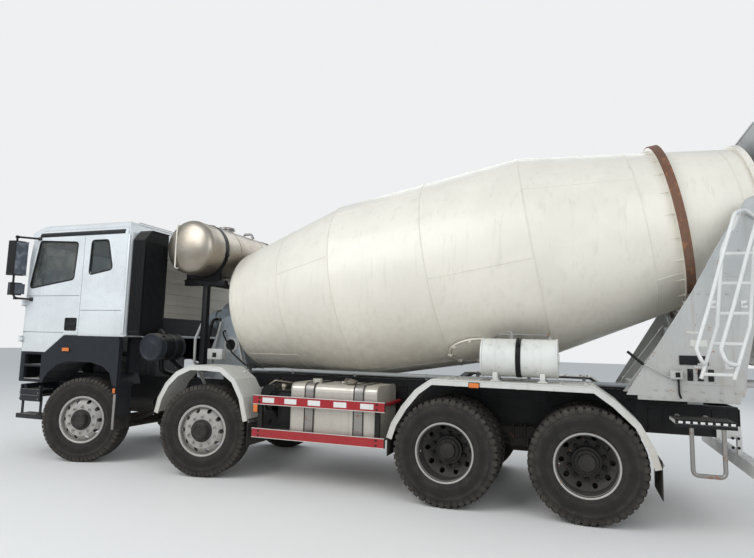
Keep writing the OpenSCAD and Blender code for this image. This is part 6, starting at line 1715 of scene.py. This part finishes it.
class MIXER_OT_stage(bpy.types.Operator):
    """Floor, backdrop colour, lamps and the camera at the photograph's angle"""
    bl_idname = "mixer.stage"
    bl_label = "Stage"

    def execute(self, context):
        scene = context.scene
        clear()
        bpy.ops.mesh.primitive_plane_add(size=120, location=(0, 0, 0))
        floor = bpy.context.object
        floor.name = "floor"
        g = Graph("floor")
        colour = tuple(scene.mixer_look.floor)
        speck = g.noise(40, 4)
        cloudy = g.noise(0.4, 3)
        base = g.mix(g.ramp(cloudy, 0.3, 0.7), tuple(c * 0.985 for c in colour), colour)
        g.finish(g.mix(g.ramp(speck, 0.3, 0.7, 0, 0.12), base, tuple(c * 0.93 for c in colour)), 0.9)
        floor.data.materials.append(FINISH["floor"])
        world = bpy.data.worlds.new("studio")
        scene.world = world
        world.use_nodes = True
        sky = Nodes(world.node_tree)
        sky.nodes.clear()
        path = sky.add("ShaderNodeLightPath").outputs
        seen = sky.math("MAXIMUM", path["Is Camera Ray"], path["Is Transmission Ray"])
        mix = sky.add("ShaderNodeMixShader", Fac=seen)
        for socket, colour, strength in ((1, SKY_LIGHT, 0.62), (2, BACKDROP, 1)):
            light = sky.add("ShaderNodeBackground", Color=colour, Strength=strength)
            sky.feed(mix.inputs[socket], light.outputs[0])
        sky.add("ShaderNodeOutputWorld", Surface=mix.outputs[0])
        for name, spot, size, power in (
                ("key", (5.5, 10, 9), 9, 900), ("fill", (-9, 9, 6.5), 9, 420), ("far", (0, -11, 8), 10, 420)):
            lamp = bpy.data.lights.new(name, "AREA")
            lamp.energy, lamp.size = power, size
            stand = bpy.data.objects.new(name, lamp)
            scene.collection.objects.link(stand)
            stand.location = spot
            stand.rotation_euler = (Vector((0, 0, 1.6)) - Vector(spot)).to_track_quat("-Z", "Y").to_euler()
        yaw, pitch, roll = 0.3453, 0.1133, 0.0251
        ahead = Vector((math.sin(yaw) * math.cos(pitch), -math.cos(yaw) * math.cos(pitch), math.sin(pitch)))
        right = Vector((-math.cos(yaw), -math.sin(yaw), 0))
        above = right.cross(ahead)
        wide = right * math.cos(roll) + above * math.sin(roll)
        tall = above * math.cos(roll) - right * math.sin(roll)
        eye = bpy.data.cameras.new("camera")
        eye.lens, eye.sensor_width = 26.83, 36
        eye.clip_end = 200
        camera = bpy.data.objects.new("camera", eye)
        scene.collection.objects.link(camera)
        turn = Matrix((wide, tall, -ahead)).transposed().to_4x4()
        camera.matrix_world = Matrix.Translation((-2.5021, 6.9318, 1.6231)) @ turn
        scene.camera = camera
        scene.view_settings.view_transform = "Standard"
        return {"FINISHED"}


class MIXER_OT_finishes(bpy.types.Operator):
    """Finishes for the truck's own parts"""
    bl_idname = "mixer.finishes"
    bl_label = "Finishes"

    def execute(self, context):
        make_finishes(context.scene.mixer_look)
        for finish, nodes in NODE_FINISH.items():
            for name in nodes:
                mesh = frame["nodes"][name].data
                mesh.materials.clear()
                mesh.materials.append(FINISH[finish])
        return {"FINISHED"}


class VIEW3D_PT_mixer(bpy.types.Panel):
    """The truck's pieces in the order in which they are made"""
    bl_label = "Mixer truck"
    bl_space_type = "VIEW_3D"
    bl_region_type = "UI"
    bl_category = "Mixer truck"

    def draw(self, context):
        column = self.layout.column()
        for group in (context.scene.mixer_sizes, context.scene.mixer_look):
            for name in group.__annotations__:
                column.prop(group, name)
        for operator in PIECES:
            column.operator(operator.bl_idname)


PIECES = (MIXER_OT_finishes, MIXER_OT_stage, MIXER_OT_tyres, MIXER_OT_wheel_trim, MIXER_OT_drum,
          MIXER_OT_water_tank, MIXER_OT_wash_tank, MIXER_OT_lamps, MIXER_OT_cab, MIXER_OT_doors,
          MIXER_OT_seats, MIXER_OT_bumper, MIXER_OT_intake, MIXER_OT_guards, MIXER_OT_fuel_tank,
          MIXER_OT_springs, MIXER_OT_frame, MIXER_OT_fenders, MIXER_OT_front_stand, MIXER_OT_rear_frame,
          MIXER_OT_ladder, MIXER_OT_hopper)


def register():
    for group in (MixerSizes, MixerLook, *PIECES, VIEW3D_PT_mixer):
        bpy.utils.register_class(group)
    bpy.types.Scene.mixer_sizes = bpy.props.PointerProperty(type=MixerSizes)
    bpy.types.Scene.mixer_look = bpy.props.PointerProperty(type=MixerLook)


def unregister():
    del bpy.types.Scene.mixer_sizes, bpy.types.Scene.mixer_look
    for group in reversed((MixerSizes, MixerLook, *PIECES, VIEW3D_PT_mixer)):
        bpy.utils.unregister_class(group)


def main():
    register()
    for operator in PIECES:
        family, name = operator.bl_idname.split(".")
        getattr(getattr(bpy.ops, family), name)()


if __name__ == "__main__":
    main()
